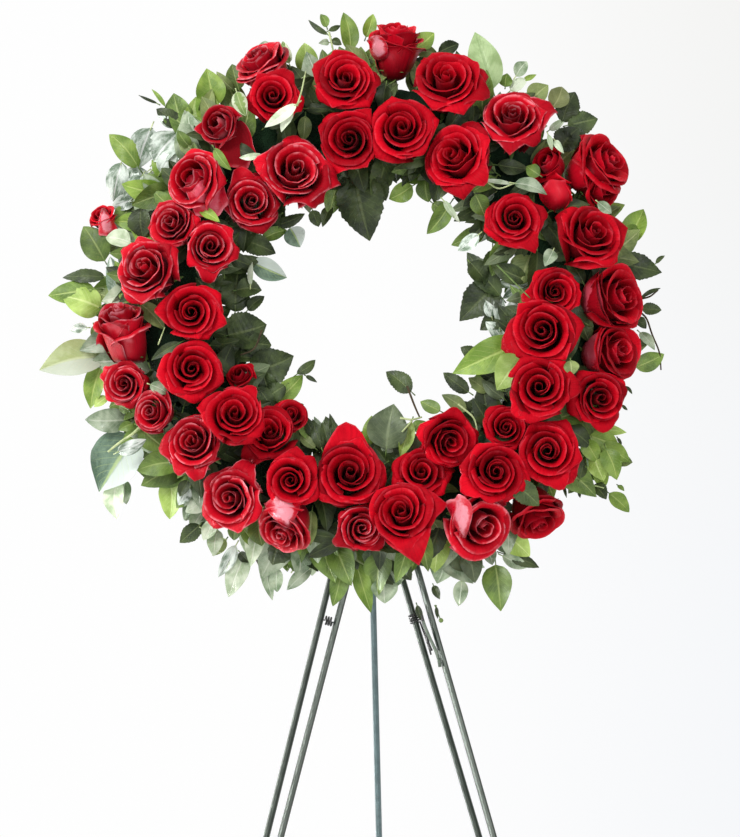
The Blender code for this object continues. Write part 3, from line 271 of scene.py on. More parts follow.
class Build:
    """Collects closed quad shells, tubes and lathed buds, then makes one mesh object of them."""

    def __init__(self):
        self.v, self.f, self.m, self.a, self.r, self.n = [], [], [], [], [], 0

    def add(self, v, f, m, a, rim):
        self.v.append(np.asarray(v, float)); self.f.append(np.asarray(f, np.int64) + self.n)
        self.m.append(np.asarray(m, np.int32)); self.a.append(np.asarray(a, float)); self.r.append(np.asarray(rim, bool))
        self.n += len(v)

    def shell(self, P, thick, front, back, shade, ends=None, shade_back=None):
        """A thin closed shell on the grid P (rows along, columns across) with a sharp shared rim."""
        nv, nu = P.shape[:2]
        du = np.gradient(P, axis=1); dv = np.gradient(P, axis=0)
        n = np.cross(du, dv); ln = np.linalg.norm(n, axis=2, keepdims=True)
        n = n / np.maximum(ln, 1e-12)
        rim = np.ones((nv, nu), bool); rim[1:-1, 1:-1] = False
        F = np.arange(nv * nu).reshape(nv, nu)
        K = F.copy(); K[~rim] = nv * nu + np.arange((~rim).sum())
        top = P + np.where(rim[..., None], 0.0, n * thick / 2)
        low = (P - n * thick / 2)[~rim]
        verts = np.concatenate([top.reshape(-1, 3), low])
        q1 = np.stack([F[:-1, :-1], F[:-1, 1:], F[1:, 1:], F[1:, :-1]], -1).reshape(-1, 4)
        q2 = np.stack([K[:-1, :-1], K[1:, :-1], K[1:, 1:], K[:-1, 1:]], -1).reshape(-1, 4)
        uu, vv = np.meshgrid(np.linspace(0, 1, nu), np.linspace(0, 1, nv) if ends is None else ends)
        att = np.stack([uu.ravel(), vv.ravel(), np.broadcast_to(shade, (nv, nu)).ravel()], 1)
        low_att = att.copy()
        if shade_back is not None:
            low_att[:, 2] = np.broadcast_to(shade_back, (nv, nu)).ravel()
        att = np.concatenate([att, low_att[(~rim).ravel()]])
        r = np.concatenate([rim.ravel(), np.zeros((~rim).sum(), bool)])
        self.add(verts, np.concatenate([q1, q2]), [front] * len(q1) + [back] * len(q2), att, r)

    def tube(self, pts, radii, mat, shade, sides=8):
        """A round closed tube along pts."""
        pts = np.asarray(pts, float); k = len(pts)
        radii = np.full(k, radii, float) if np.isscalar(radii) else np.asarray(radii, float)
        t = np.gradient(pts, axis=0); t /= np.maximum(np.linalg.norm(t, axis=1, keepdims=True), 1e-12)
        x = np.cross(t[0], [0.3, 0.5, 0.8]); x /= np.linalg.norm(x)
        rows = []
        for i in range(k):
            x = x - t[i] * (x @ t[i]); x /= np.linalg.norm(x)
            y = np.cross(t[i], x)
            ang = np.arange(sides) * 2 * pi / sides
            rows.append(pts[i] + radii[i] * (np.cos(ang)[:, None] * x + np.sin(ang)[:, None] * y))
        self.lofted(np.array(rows), mat, shade)

    def lofted(self, rows, mat, shade):
        """Closed loft through rings of points, capped at both ends with quads."""
        k, s = rows.shape[:2]
        I = np.arange(k * s).reshape(k, s); J = np.roll(I, -1, axis=1)
        q = np.stack([I[:-1], J[:-1], J[1:], I[1:]], -1).reshape(-1, 4)
        caps = []
        for lo, hi in [(i, s - 1 - i) for i in range(s // 2 - 1)]:
            caps.append((lo, lo + 1, hi - 1, hi))
        caps = np.array(caps)
        first = I[0][caps][:, ::-1]; last = I[-1][caps]
        uu, vv = np.meshgrid(np.linspace(0, 1, s), np.linspace(0, 1, k))
        att = np.stack([uu.ravel(), vv.ravel(), np.full(k * s, shade)], 1)
        f = np.concatenate([q, first, last])
        self.add(rows.reshape(-1, 3), f, [mat] * len(f), att, np.zeros(k * s, bool))

    def make(self, name, mats):
        co = np.concatenate(self.v); f = np.concatenate(self.f); mi = np.concatenate(self.m)
        att = np.concatenate(self.a); rim = np.concatenate(self.r)
        me = bpy.data.meshes.new(name)
        me.vertices.add(len(co)); me.vertices.foreach_set("co", co.ravel())
        me.loops.add(f.size); me.loops.foreach_set("vertex_index", f.ravel().astype(np.int32))
        me.polygons.add(len(f)); me.polygons.foreach_set("loop_start", np.arange(0, f.size, 4, dtype=np.int32))
        me.polygons.foreach_set("material_index", mi)
        me.update(calc_edges=True)
        me.polygons.foreach_set("use_smooth", np.ones(len(f), bool))
        e = np.empty(len(me.edges) * 2, np.int32); me.edges.foreach_get("vertices", e); e = e.reshape(-1, 2)
        s = me.attributes.new("sharp_edge", "BOOLEAN", "EDGE") if "sharp_edge" not in me.attributes else me.attributes["sharp_edge"]
        s.data.foreach_set("value", rim[e[:, 0]] & rim[e[:, 1]])
        g = me.attributes.new("grow", "FLOAT_VECTOR", "POINT"); g.data.foreach_set("vector", att.ravel())
        for m in mats:
            me.materials.append(m)
        me.update()
        o = bpy.data.objects.new(name, me)
        bpy.context.scene.collection.objects.link(o)
        return o


def smooth(x, a, b):
    t = np.clip((x - a) / (b - a), 0, 1)
    return t * t * (3 - 2 * t)


# ---------------------------------------------------------------- materials

def N(nt, kind, ins=None, **props):
    n = nt.nodes.new(kind)
    for k, v in props.items():
        setattr(n, k, v)
    for k, v in (ins or {}).items():
        if isinstance(v, bpy.types.NodeSocket):
            nt.links.new(v, n.inputs[k])
        else:
            n.inputs[k].default_value = v
    return n


def mth(nt, op, a, b=0.0, clamp=False):
    return N(nt, "ShaderNodeMath", {0: a, 1: b}, operation=op, use_clamp=clamp).outputs[0]


def mix(nt, fac, a, b, blend="MIX"):
    n = N(nt, "ShaderNodeMix", {0: fac}, data_type="RGBA", blend_type=blend)
    for i, v in ((6, a), (7, b)):
        if isinstance(v, bpy.types.NodeSocket):
            nt.links.new(v, n.inputs[i])
        else:
            n.inputs[i].default_value = (*v[:3], 1.0)
    return n.outputs[2]


def ramp(nt, val, a, b, lo=0.0, hi=1.0):
    return N(nt, "ShaderNodeMapRange", {"Value": val, "From Min": a, "From Max": b, "To Min": lo, "To Max": hi},
             interpolation_type="SMOOTHSTEP").outputs[0]


def noise(nt, vec, scale, detail=3.0, rough=0.5):
    return N(nt, "ShaderNodeTexNoise", {"Vector": vec, "Scale": scale, "Detail": detail, "Roughness": rough}).outputs["Fac"]


def new_mat(name):
    m = bpy.data.materials.new(name); m.use_nodes = True
    nt = m.node_tree; b = nt.nodes["Principled BSDF"]
    return m, nt, b


def srgb(r, g, b):
    f = lambda c: (c / 255 / 12.92) if c / 255 <= 0.04045 else ((c / 255 + 0.055) / 1.055) ** 2.4
    return (f(r), f(g), f(b))


def grow(nt):
    """Across, along and shade of a petal or leaf, and the object position; the shade is a random tone, on petals
    darkened by painted shade deep in the flower.
    """
    a = N(nt, "ShaderNodeAttribute", attribute_name="grow", attribute_type="GEOMETRY")
    s = N(nt, "ShaderNodeSeparateXYZ", {0: a.outputs["Vector"]})
    pos = N(nt, "ShaderNodeTexCoord").outputs["Object"]
    return a.outputs["Vector"], s.outputs[0], s.outputs[1], s.outputs[2], pos


def petal_material(name, deep, mid, lip, rough, sheen, spec, glare=None, lip_amount=0.42, tint=(0.30, 0.36), highlight_pool=None, highlight_pool_amount=0.85):
    m, nt, b = new_mat(name)
    g, u, v, sh, pos = grow(nt)
    au = mth(nt, "ABSOLUTE", mth(nt, "SUBTRACT", mth(nt, "MULTIPLY", u, 2.0), 1.0))
    # painted shade: the petal darkens to its base, deep in the flower; cloudy deeper patches; a painted highlight along
    # a narrow lip
    n1 = noise(nt, pos, 55.0, 3.0)
    n2 = noise(nt, pos, 260.0, 4.0, 0.6)
    base = ramp(nt, mth(nt, "ADD", v, mth(nt, "MULTIPLY", mth(nt, "SUBTRACT", n1, 0.5), 0.35)), 0.18, 0.66)
    col = mix(nt, base, deep, mid)
    st = N(nt, "ShaderNodeVectorMath", {0: g, 1: (46.0, 2.2, 5.0)}, operation="MULTIPLY").outputs[0]
    veins = noise(nt, st, 1.0, 3.0, 0.55)
    col = mix(nt, mth(nt, "MULTIPLY", ramp(nt, veins, 0.42, 0.75), 0.30), col, deep)
    col = mix(nt, mth(nt, "MULTIPLY", ramp(nt, n1, 0.5, 0.78), 0.30), col, deep)
    if glare:
        # painted highlight: the satin backs carry soft pale glare patches
        patch = mth(nt, "MULTIPLY", ramp(nt, noise(nt, pos, 34.0, 2.0), 0.58, 0.72), ramp(nt, v, 0.35, 0.75))
        col = mix(nt, mth(nt, "MULTIPLY", patch, 0.45), col, glare)
    if highlight_pool:
        # painted highlight: a pale pool in the middle of the petal with a ragged edge
        du = mth(nt, "MULTIPLY", mth(nt, "SUBTRACT", u, 0.5), 2.1); dv = mth(nt, "MULTIPLY", mth(nt, "SUBTRACT", v, 0.70), 2.7)
        far = mth(nt, "SQRT", mth(nt, "ADD", mth(nt, "MULTIPLY", du, du), mth(nt, "MULTIPLY", dv, dv)))
        far = mth(nt, "ADD", far, mth(nt, "MULTIPLY", mth(nt, "SUBTRACT", noise(nt, pos, 150.0, 4.0, 0.6), 0.5), 0.9))
        col = mix(nt, mth(nt, "MULTIPLY", ramp(nt, far, 0.86, 0.58), highlight_pool_amount), col, highlight_pool)
    rim = mth(nt, "MAXIMUM", ramp(nt, v, 0.955, 1.0), ramp(nt, au, 0.96, 1.0), clamp=True)
    # the painted lip highlight is broken into stretches
    rim = mth(nt, "MULTIPLY", rim, ramp(nt, noise(nt, pos, 120.0, 2.0), 0.40, 0.62, 0.15, 1.0))
    col = mix(nt, mth(nt, "MULTIPLY", rim, lip_amount), col, lip)
    tone = ramp(nt, sh, 0.0, 1.0, 0.24, 1.18)
    col = mix(nt, 1.0, col, N(nt, "ShaderNodeCombineColor", {0: tone, 1: tone, 2: tone}).outputs[0], "MULTIPLY")
    nt.links.new(col, b.inputs["Base Color"])
    nt.links.new(ramp(nt, n2, 0.3, 0.7, rough - 0.07, rough + 0.09), b.inputs["Roughness"])
    b.inputs["Specular IOR Level"].default_value = spec
    b.inputs["Specular Tint"].default_value = (1.0, *tint, 1.0)
    b.inputs["Sheen Weight"].default_value = sheen
    b.inputs["Sheen Roughness"].default_value = 0.35
    b.inputs["Sheen Tint"].default_value = (1.0, 0.16, 0.22, 1.0)
    h = mth(nt, "ADD", mth(nt, "MULTIPLY", veins, 0.7), mth(nt, "MULTIPLY", n2, 0.35))
    bump = N(nt, "ShaderNodeBump", {"Strength": 0.38, "Distance": 0.0009, "Height": h})
    nt.links.new(bump.outputs[0], b.inputs["Normal"])
    return m


LEAF_LIFT = 1.16


def leaf_material(name, dark, mid, vein, rough, spec, cream=None, cream_at=0.55, sheen=0.0, half=None, flip=False, patch=False):
    dark, mid, vein = [tuple(min(.80, LEAF_LIFT * q) for q in c) for c in (dark, mid, vein)]
    m, nt, b = new_mat(name)
    g, u, v, sh, pos = grow(nt)
    au = mth(nt, "ABSOLUTE", mth(nt, "SUBTRACT", mth(nt, "MULTIPLY", u, 2.0), 1.0))
    n1 = noise(nt, pos, 70.0, 3.0)
    n2 = noise(nt, pos, 420.0, 4.0, 0.6)
    if patch:
        # broken streaks along the leaf; on the silver blotched sort the pale streaks are painted reflection
        n3 = noise(nt, N(nt, "ShaderNodeVectorMath", {0: g, 1: (2.6, 1.7, 40.0)}, operation="MULTIPLY").outputs[0], 1.0, 4.0, 0.6)
        col = mix(nt, ramp(nt, n3, 0.36, 0.60), dark, mid)
    else:
        col = mix(nt, ramp(nt, n1, 0.34, 0.68), dark, mid)
    if cream:
        # variegated: cream towards the margin in irregular tongues
        edge = mth(nt, "ADD", au, mth(nt, "MULTIPLY", mth(nt, "SUBTRACT", noise(nt, N(nt, "ShaderNodeVectorMath", {0: g, 1: (4.0, 9.0, 7.0)}, operation="MULTIPLY").outputs[0], 1.0, 3.0), 0.5), 1.1))
        col = mix(nt, ramp(nt, edge, cream_at - 0.08, cream_at + 0.08), col, cream)
    if half:
        # one side of the midrib is much paler; on the grey-green two-tone sort this is painted sheen
        col = mix(nt, mth(nt, "MULTIPLY", ramp(nt, mth(nt, "ADD", u, mth(nt, "MULTIPLY", mth(nt, "SUBTRACT", n1, 0.5), 0.10)), *((0.50, 0.42) if flip else (0.50, 0.58))), 0.95), col, half)
    # secondary veins sweep forward from the midrib
    ph = mth(nt, "SUBTRACT", v, mth(nt, "MULTIPLY", au, 0.30))
    fr = mth(nt, "ABSOLUTE", mth(nt, "SUBTRACT", mth(nt, "FRACT", mth(nt, "MULTIPLY", mth(nt, "ADD", ph, 1.0), 9.0)), 0.5))
    side = mth(nt, "MULTIPLY", ramp(nt, fr, 0.10, 0.0), ramp(nt, au, 0.98, 0.5))
    ribw = ramp(nt, au, 0.11, 0.03)
    col = mix(nt, mth(nt, "MULTIPLY", side, 0.24), col, vein)
    col = mix(nt, mth(nt, "MULTIPLY", ribw, 0.5), col, vein)
    net = N(nt, "ShaderNodeTexVoronoi", {"Vector": pos, "Scale": 520.0}, feature="DISTANCE_TO_EDGE").outputs["Distance"]
    col = mix(nt, mth(nt, "MULTIPLY", ramp(nt, net, 0.09, 0.0), 0.12), col, vein)
    tone = ramp(nt, sh, 0.0, 1.0, 0.70, 1.28)
    col = mix(nt, 1.0, col, N(nt, "ShaderNodeCombineColor", {0: tone, 1: tone, 2: tone}).outputs[0], "MULTIPLY")
    nt.links.new(col, b.inputs["Base Color"])
    nt.links.new(ramp(nt, n2, 0.3, 0.7, rough - 0.06, rough + 0.10), b.inputs["Roughness"])
    b.inputs["Specular IOR Level"].default_value = spec
    if sheen:
        b.inputs["Sheen Weight"].default_value = sheen
        b.inputs["Sheen Roughness"].default_value = 0.4
    h = mth(nt, "ADD", mth(nt, "MULTIPLY", ribw, -0.9), mth(nt, "ADD", mth(nt, "MULTIPLY", side, -0.45), mth(nt, "MULTIPLY", n2, 0.25)))
    bump = N(nt, "ShaderNodeBump", {"Strength": 0.5, "Distance": 0.0007, "Height": h})
    nt.links.new(bump.outputs[0], b.inputs["Normal"])
    return m


def plain_material(name, c1, c2, rough, spec, scale, bump_d, metal=0.0, wear=None, coat=0.0, tint=None):
    m, nt, b = new_mat(name)
    pos = N(nt, "ShaderNodeTexCoord").outputs["Object"]
    n1 = noise(nt, pos, scale, 4.0, 0.55); n2 = noise(nt, pos, scale * 7.3, 3.0, 0.6)
    col = mix(nt, ramp(nt, n1, 0.32, 0.70), c1, c2)
    if wear:
        col = mix(nt, mth(nt, "MULTIPLY", ramp(nt, n2, 0.64, 0.72), 0.55), col, wear)
    nt.links.new(col, b.inputs["Base Color"])
    nt.links.new(ramp(nt, n1, 0.3, 0.7, rough - 0.05, rough + 0.09), b.inputs["Roughness"])
    b.inputs["Specular IOR Level"].default_value = spec
    b.inputs["Metallic"].default_value = metal
    if tint:
        b.inputs["Specular Tint"].default_value = (*tint, 1.0)
    if coat:
        b.inputs["Coat Weight"].default_value = coat
        b.inputs["Coat Roughness"].default_value = 0.18
    h = mth(nt, "ADD", mth(nt, "MULTIPLY", n2, 0.6), mth(nt, "MULTIPLY", n1, 0.4))
    nt.links.new(N(nt, "ShaderNodeBump", {"Strength": 0.5, "Distance": bump_d, "Height": h}).outputs[0], b.inputs["Normal"])
    return m


def foam_material():
    """Floral foam: open cells over a mottled green kept dark as painted shade, where it lies under the leaves."""
    m, nt, b = new_mat("floral_foam")
    pos = N(nt, "ShaderNodeTexCoord").outputs["Object"]
    cell = N(nt, "ShaderNodeTexVoronoi", {"Vector": pos, "Scale": 900.0}, feature="F1").outputs["Distance"]
    n1 = noise(nt, pos, 30.0, 4.0)
    col = mix(nt, ramp(nt, n1, 0.3, 0.7), srgb(16, 32, 20), srgb(30, 54, 33))
    col = mix(nt, mth(nt, "MULTIPLY", ramp(nt, cell, 0.45, 0.1), 0.6), col, srgb(12, 28, 16))
    nt.links.new(col, b.inputs["Base Color"])
    b.inputs["Roughness"].default_value = 0.92
    b.inputs["Specular IOR Level"].default_value = 0.15
    nt.links.new(N(nt, "ShaderNodeBump", {"Strength": 0.9, "Distance": 0.0012, "Height": cell}).outputs[0], b.inputs["Normal"])
    return m


# each petal material paints shade towards the petal's base and a highlight along its lip; the backs add painted glare
# patches, the two pool materials a painted highlight pool
P_FACE = petal_material("rose_petal_face", srgb(104, 0, 12), srgb(194, 8, 28), srgb(214, 74, 88), 0.50, 0.06, 0.12, lip_amount=0.45)
P_BACK = petal_material("rose_petal_back", srgb(116, 4, 18), srgb(192, 12, 34), srgb(216, 84, 100), 0.36, 0.08, 0.36, glare=srgb(214, 96, 112), lip_amount=0.45, tint=(0.56, 0.62))
P_FACE_LIP_HIGHLIGHT = petal_material("rose_petal_face_painted_lip_highlight", srgb(108, 2, 14), srgb(194, 12, 32), srgb(232, 140, 150), 0.46, 0.10, 0.16, lip_amount=0.72)
P_BACK_LIP_HIGHLIGHT = petal_material("rose_petal_back_painted_lip_highlight", srgb(120, 6, 22), srgb(194, 16, 38), srgb(232, 150, 162), 0.34, 0.14, 0.42, glare=srgb(230, 150, 160), lip_amount=0.72, tint=(0.72, 0.78))
P_HIGHLIGHT_POOL = petal_material("rose_petal_back_painted_highlight_pool", srgb(120, 6, 22), srgb(196, 20, 42), srgb(236, 160, 170), 0.30, 0.2, 0.5, glare=srgb(232, 150, 160), lip_amount=0.7, tint=(0.8, 0.84), highlight_pool=srgb(220, 146, 158), highlight_pool_amount=0.74)
P_SOFT_HIGHLIGHT_POOL = petal_material("rose_petal_back_painted_soft_highlight_pool", srgb(120, 6, 26), srgb(188, 14, 40), srgb(232, 140, 152), 0.32, 0.14, 0.42, glare=srgb(220, 110, 130), lip_amount=0.7, tint=(0.7, 0.76), highlight_pool=srgb(216, 104, 124), highlight_pool_amount=0.45)
SEPAL = leaf_material("rose_sepal", srgb(52, 78, 34), srgb(88, 116, 56), srgb(130, 150, 90), 0.55, 0.3)
STALK = plain_material("green_stalk", srgb(70, 96, 44), srgb(112, 134, 70), 0.5, 0.35, 160.0, 0.0004)
PALE_STALK = plain_material("pale_stalk", srgb(150, 168, 110), srgb(190, 200, 150), 0.5, 0.35, 160.0, 0.0004)
BARK = plain_material("brown_twig", srgb(48, 38, 26), srgb(84, 70, 48), 0.7, 0.25, 220.0, 0.0006)
LEAF = {
    "G": leaf_material("leaf_mid_green", srgb(70, 94, 36), srgb(102, 128, 54), srgb(162, 178, 108), 0.42, 0.34),
    "D": leaf_material("leaf_dark_green", srgb(30, 42, 22), srgb(60, 74, 38), srgb(96, 108, 66), 0.42, 0.30),
    "B": leaf_material("leaf_bright_green", srgb(92, 122, 40), srgb(126, 152, 62), srgb(176, 192, 112), 0.40, 0.34),
    "Y": leaf_material("leaf_dull_green", srgb(82, 98, 52), srgb(116, 130, 74), srgb(166, 174, 122), 0.46, 0.32),
    # the silver-green and pale sorts are pale partly in their own colour and partly as painted glare, where glossy
    # leaves catch the light
    "S": leaf_material("leaf_silver_green_and_painted_glare", srgb(88, 112, 76), srgb(164, 178, 150), srgb(204, 212, 192), 0.34, 0.5, sheen=0.10),
    "Z": leaf_material("leaf_green_painted_reflection_streaks", srgb(80, 104, 78), srgb(204, 214, 204), srgb(216, 224, 214), 0.30, 0.6, patch=True),
    "M": leaf_material("leaf_grey_green", srgb(62, 76, 48), srgb(96, 110, 78), srgb(132, 144, 108), 0.42, 0.34),
    "K": leaf_material("leaf_yellow_green", srgb(128, 154, 66), srgb(164, 188, 102), srgb(200, 214, 146), 0.40, 0.34),
    "W": leaf_material("leaf_pale_and_painted_glare", srgb(140, 160, 122), srgb(196, 206, 182), srgb(214, 220, 200), 0.42, 0.45, sheen=0.08),
    "V": leaf_material("leaf_variegated", srgb(88, 116, 50), srgb(122, 148, 76), srgb(178, 190, 136), 0.42, 0.4, cream=srgb(192, 202, 168), cream_at=0.66),
    "R": leaf_material("leaf_reddish", srgb(104, 112, 62), srgb(136, 142, 90), srgb(166, 168, 118), 0.44, 0.4),
    "L": leaf_material("leaf_light", srgb(124, 146, 98), srgb(152, 172, 126), srgb(104, 128, 80), 0.42, 0.36),
    "H": leaf_material("leaf_half_pale", srgb(164, 178, 116), srgb(190, 202, 150), srgb(206, 214, 174), 0.42, 0.4, half=srgb(196, 205, 186), flip=True),
    "P": leaf_material("leaf_grey_green_painted_sheen_half", srgb(52, 74, 60), srgb(92, 114, 98), srgb(160, 178, 110), 0.40, 0.40, half=srgb(178, 188, 182), flip=True, patch=True),
}
KINDS = ["G", "D", "B", "Y", "S", "W", "V", "R", "L", "H", "P", "Z", "K", "M"]
LEAF_MATS = [LEAF[k] for k in KINDS] + [STALK, PALE_STALK, BARK]
LEAF_UNDER = {"G": 3, "D": 0, "B": 4, "Y": 4, "S": 5, "W": 5, "V": 5, "R": 3, "L": 8, "H": 9, "P": 4, "Z": 4, "K": 3, "M": 4}   # undersides take a paler sort
TWIG_MAT = {"G": 14, "P": 15, "W": 15, "D": 16}


# ---------------------------------------------------------------- roses

CENTRE = {k: ring(*v[:3]) for k, v in BLOOMS.items()}


def facing(v):
    d = v[3] * AX + v[4] * BX + v[5] * WX
    return d / np.linalg.norm(d)


def settle(P, name, c, R):
    """Neighbouring heads press on each other: petals flatten against the plane between two heads."""
    out = P.reshape(-1, 3)
    for k, o in CENTRE.items():
        if k == name:
            continue
        d = o - c; L = np.linalg.norm(d); Ro = BLOOMS[k][6] * 0.001
        if L > (R + Ro) * 1.05:
            continue
        n = d / L
        lim = L * R / (R + Ro) + 0.0012
        m = 0.15 * R
        x = (out - c) @ n
        over = x > lim - m
        y = lim - m * np.exp(-(x[over] - (lim - m)) / m)
        out[over] += (y - x[over])[:, None] * n
    return out.reshape(P.shape)


def petal_plan(n, op, rng):
    """Brim radius, brim height, belly radius and height, half angle, lip length, lip bend and pointedness
    of each petal, from the heart outwards, in head radii. op is 1 for a wide-open rose, 0.5 for a goblet."""
    n1 = max(4, int(round(n * .44))); n2 = max(3, int(round(n * .22))); n3 = max(3, n - n1 - n2)
    u = rng.uniform
    plan = []
    for k in range(n1):
        t = k / (n1 - 1.0)
        plan.append(dict(rr=.035 + .34 * t ** 1.1 * u(.87, 1.13), H=.56 - .08 * t + u(-.05, .05), rb=.12 + .34 * t, zb=-.28 + .04 * t,
                         half=165 - 82 * t ** .8, roll=.015 + .05 * t, bend=8 + 60 * t * u(.5, 1.4), pt=.10 * t, z=0, off=u(0, .035) * (1 + .8 * t)))
    for k in range(n2):
        t = k / max(1.0, n2 - 1.0)
        plan.append(dict(rr=(.48 + .14 * t) * (.84 + .16 * op) * u(.94, 1.06), H=.43 - .12 * t + (1 - op) * .18 + u(-.07, .07), rb=.51 + .05 * t, zb=-.18 + .05 * t,
                         half=76 - 9 * t, roll=.11 * u(.7, 1.4), bend=90 * u(.6, 1.4), pt=.25 + .2 * t, z=1, off=u(0, .07)))
    for k in range(n3):
        t = k / max(1.0, n3 - 1.0)
        plan.append(dict(rr=(.77 + .26 * t) * (.62 + .38 * op) * u(.94, 1.05), H=.17 - .36 * t * op + (1 - op) * .70 + u(-.07, .07), rb=.58 + .05 * t,
                         zb=-.04 + .04 * t - (1 - op) * .4, half=61 - 8 * t, roll=.13 * u(.6, 1.4), bend=u(50, 145), pt=.65 + .25 * t, z=2, off=u(0, .03)))
    return plan


def goblet_plan(n, op, rng):
    """A half-open rose seen from the side: a few broad outer petals wrap a high cup."""
    n1 = max(4, n - 8); plan = []; u = rng.uniform
    for k in range(n1):
        t = k / (n1 - 1.0)
        plan.append(dict(rr=.03 + .27 * t, H=.60 - .05 * t + u(-.03, .03), rb=.12 + .30 * t, zb=-.22,
                         half=168 - 68 * t, roll=.012 + .04 * t, bend=5 + 30 * t, pt=.05, z=0, off=u(0, .03)))
    for k in range(4):
        t = k / 3.0
        plan.append(dict(rr=.38 + .14 * t, H=.55 - .09 * t + u(-.04, .04), rb=.47 + .09 * t, zb=-.16,
                         half=96 - 6 * t, roll=.08 * u(.7, 1.4), bend=u(40, 105), pt=.2, z=1, off=u(0, .03)))
    for k in range(4):
        t = k / 3.0
        plan.append(dict(rr=(.58 + .17 * t) * u(.95, 1.06), H=.44 - .26 * t + u(-.05, .05), rb=.61 + .06 * t,
                         zb=-.24 + .03 * t, half=92 - 9 * t, roll=.15 * u(.7, 1.3), bend=u(60, 150), pt=.4, z=1, off=u(0, .03)))
    return plan


def cup_plan(n, op, rng):
    """A rose still closed over its heart: smooth petals meet over the middle inside one deep cup."""
    plan = []; u = rng.uniform
    for rr, rb, H, half in ((.05, .36, .50, 150), (.12, .43, .50, 128), (.22, .48, .46, 118), (.33, .53, .43, 104)):
        plan.append(dict(rr=rr * u(.9, 1.1), H=H + u(-.02, .02), rb=rb, zb=-.20, half=half, roll=.012 + .03 * rr, bend=10 + 40 * rr, pt=.05, z=0, off=u(0, .05)))
    for rr, H, half in ((.55, .38, 142), (.60, .34, 96)):
        plan.append(dict(rr=rr * op, H=H, rb=.58, zb=-.18, half=half, roll=.06, bend=u(50, 90), pt=.15, z=1, off=.02))
    for k in range(max(0, n - 6)):
        t = k / max(1.0, n - 7.0)
        plan.append(dict(rr=(.74 + .20 * t) * op * u(.95, 1.05), H=.22 - .30 * t + u(-.06, .06), rb=.62 + .04 * t, zb=-.12,
                         half=74 - 12 * t, roll=.15 * u(.7, 1.3), bend=u(70, 150), pt=.6, z=2, off=u(0, .03)))
    return plan


PLANS = {"open": petal_plan, "goblet": goblet_plan, "cup": cup_plan}


def bloom_petal(q_, R, rng, th):
    """One petal of a rose as a grid of points in the head's own frame: z is where the rose faces."""
    nu, nv = (17, 9) if q_["z"] == 0 else (17, 12)
    u = np.linspace(-1, 1, nu)[None, :]
    t = np.linspace(0, 1, nv)[:, None]
    v = 1 - (1 - t) ** (1.7 if q_["z"] == 0 else 1.4)
    rr, H, rb, zb = q_["rr"] * R, q_["H"] * R, q_["rb"] * R, q_["zb"] * R
    half = radians(q_["half"]); roll = q_["roll"] * R; bend = radians(q_["bend"]); pt = q_["pt"]
    zone = q_["z"]
    # the side margins sit lower than the tip; outer petals come to a point
    top = 1 - (.05 + .36 * pt) * np.abs(u) ** (2.0 - .5 * pt) + .04 * pt * np.exp(-(u / .14) ** 2)
    if q_.get("tri"):
        top = 1 - .62 * np.abs(u) ** 1.08
    top = top + rng.uniform(.005, .022) * np.sin(2.4 * pi * u + rng.uniform(0, 6.3)) + rng.uniform(0, .012) * np.sin(5.3 * pi * u + rng.uniform(0, 6.3))
    q = v * top
    c = np.array([[.05 * R, -.84 * R], [.62 * rb, -.74 * R], [rb, zb], [rr, H]])
    kn = np.array([0, .26, .60, 1.0])
    A = np.array([[x ** 3, x ** 2, x, 1] for x in kn])
    cr_, cz_ = np.linalg.solve(A, c[:, 0]), np.linalg.solve(A, c[:, 1])
    fr = lambda q: ((cr_[0] * q + cr_[1]) * q + cr_[2]) * q + cr_[3]
    fz = lambda q: ((cz_[0] * q + cz_[1]) * q + cz_[2]) * q + cz_[3]
    r = fr(q); z = fz(q)
    # the lip rolls outward and down
    v0 = .78
    e = np.clip((v - v0) / (1 - v0), 0, 1)
    q0 = v0 * top
    r0 = fr(q0); z0 = fz(q0)
    a0 = np.arctan2(fz(q0 + .02) - z0, fr(q0 + .02) - r0)
    ee = np.linspace(0, 1, 25)
    ang = a0[..., None] - bend * (1 + .3 * pt * np.exp(-(u / .30) ** 2))[..., None] * ee ** 1.3
    ln = (np.hypot(fr(top) - r0, fz(top) - z0) + roll * .5)[..., None]
    cr = np.concatenate([np.zeros(ang.shape[:-1] + (1,)), np.cumsum(np.cos(ang)[..., 1:] * ln / 24, -1)], -1)
    cz = np.concatenate([np.zeros(ang.shape[:-1] + (1,)), np.cumsum(np.sin(ang)[..., 1:] * ln / 24, -1)], -1)
    w = e[:, 0] > 0
    for i in range(nu):
        r[w, i] = r0[0, i] + np.interp(e[w, 0] * 24, np.arange(25), cr[0, i])
        z[w, i] = z0[0, i] + np.interp(e[w, 0] * 24, np.arange(25), cz[0, i])
    phi = th + half * (.30 + .70 * smooth(v, 0, .45)) * u
    # spiral tuck, middle standing out, side margins rolled back and slow waves
    r = r * (1 + (.30, .10, .05)[zone] * u if zone else 1 + np.interp(q_["rr"], [0, .4], [.32, .14]) * u)
    r = r * (1 + (.02, .06, .12)[zone] * (1 - u ** 2) * v)
    side = np.clip((np.abs(u) - .62) / .38, 0, 1) ** 2 * smooth(v, .3, .85)
    r = r + side * R * (.01, .05, .07)[zone]
    z = z - side * R * (.01, .04, .15)[zone]
    a1, a2 = rng.uniform(.4, 1.0, 2); p1, p2 = rng.uniform(0, 6.3, 2)
    k = (.55, .8, 1.0)[zone]
    r = r + R * .035 * a1 * k * np.sin(3.1 * u + p1) * v ** 2
    z = z + R * .045 * a2 * k * np.sin(2.9 * u + p2) * v ** 2
    r = r + R * .014 * k * np.sin(8.0 * u + p2) * v ** 3
    r = np.maximum(r, .012 * R)
    lean = th + rng.uniform(-1.2, 1.2)
    ox, oy = q_["off"] * R * cos(lean) * v ** 1.5, q_["off"] * R * sin(lean) * v ** 1.5
    return np.stack([r * np.cos(phi) + ox, r * np.sin(phi) + oy, z], -1), v[:, 0], r, z


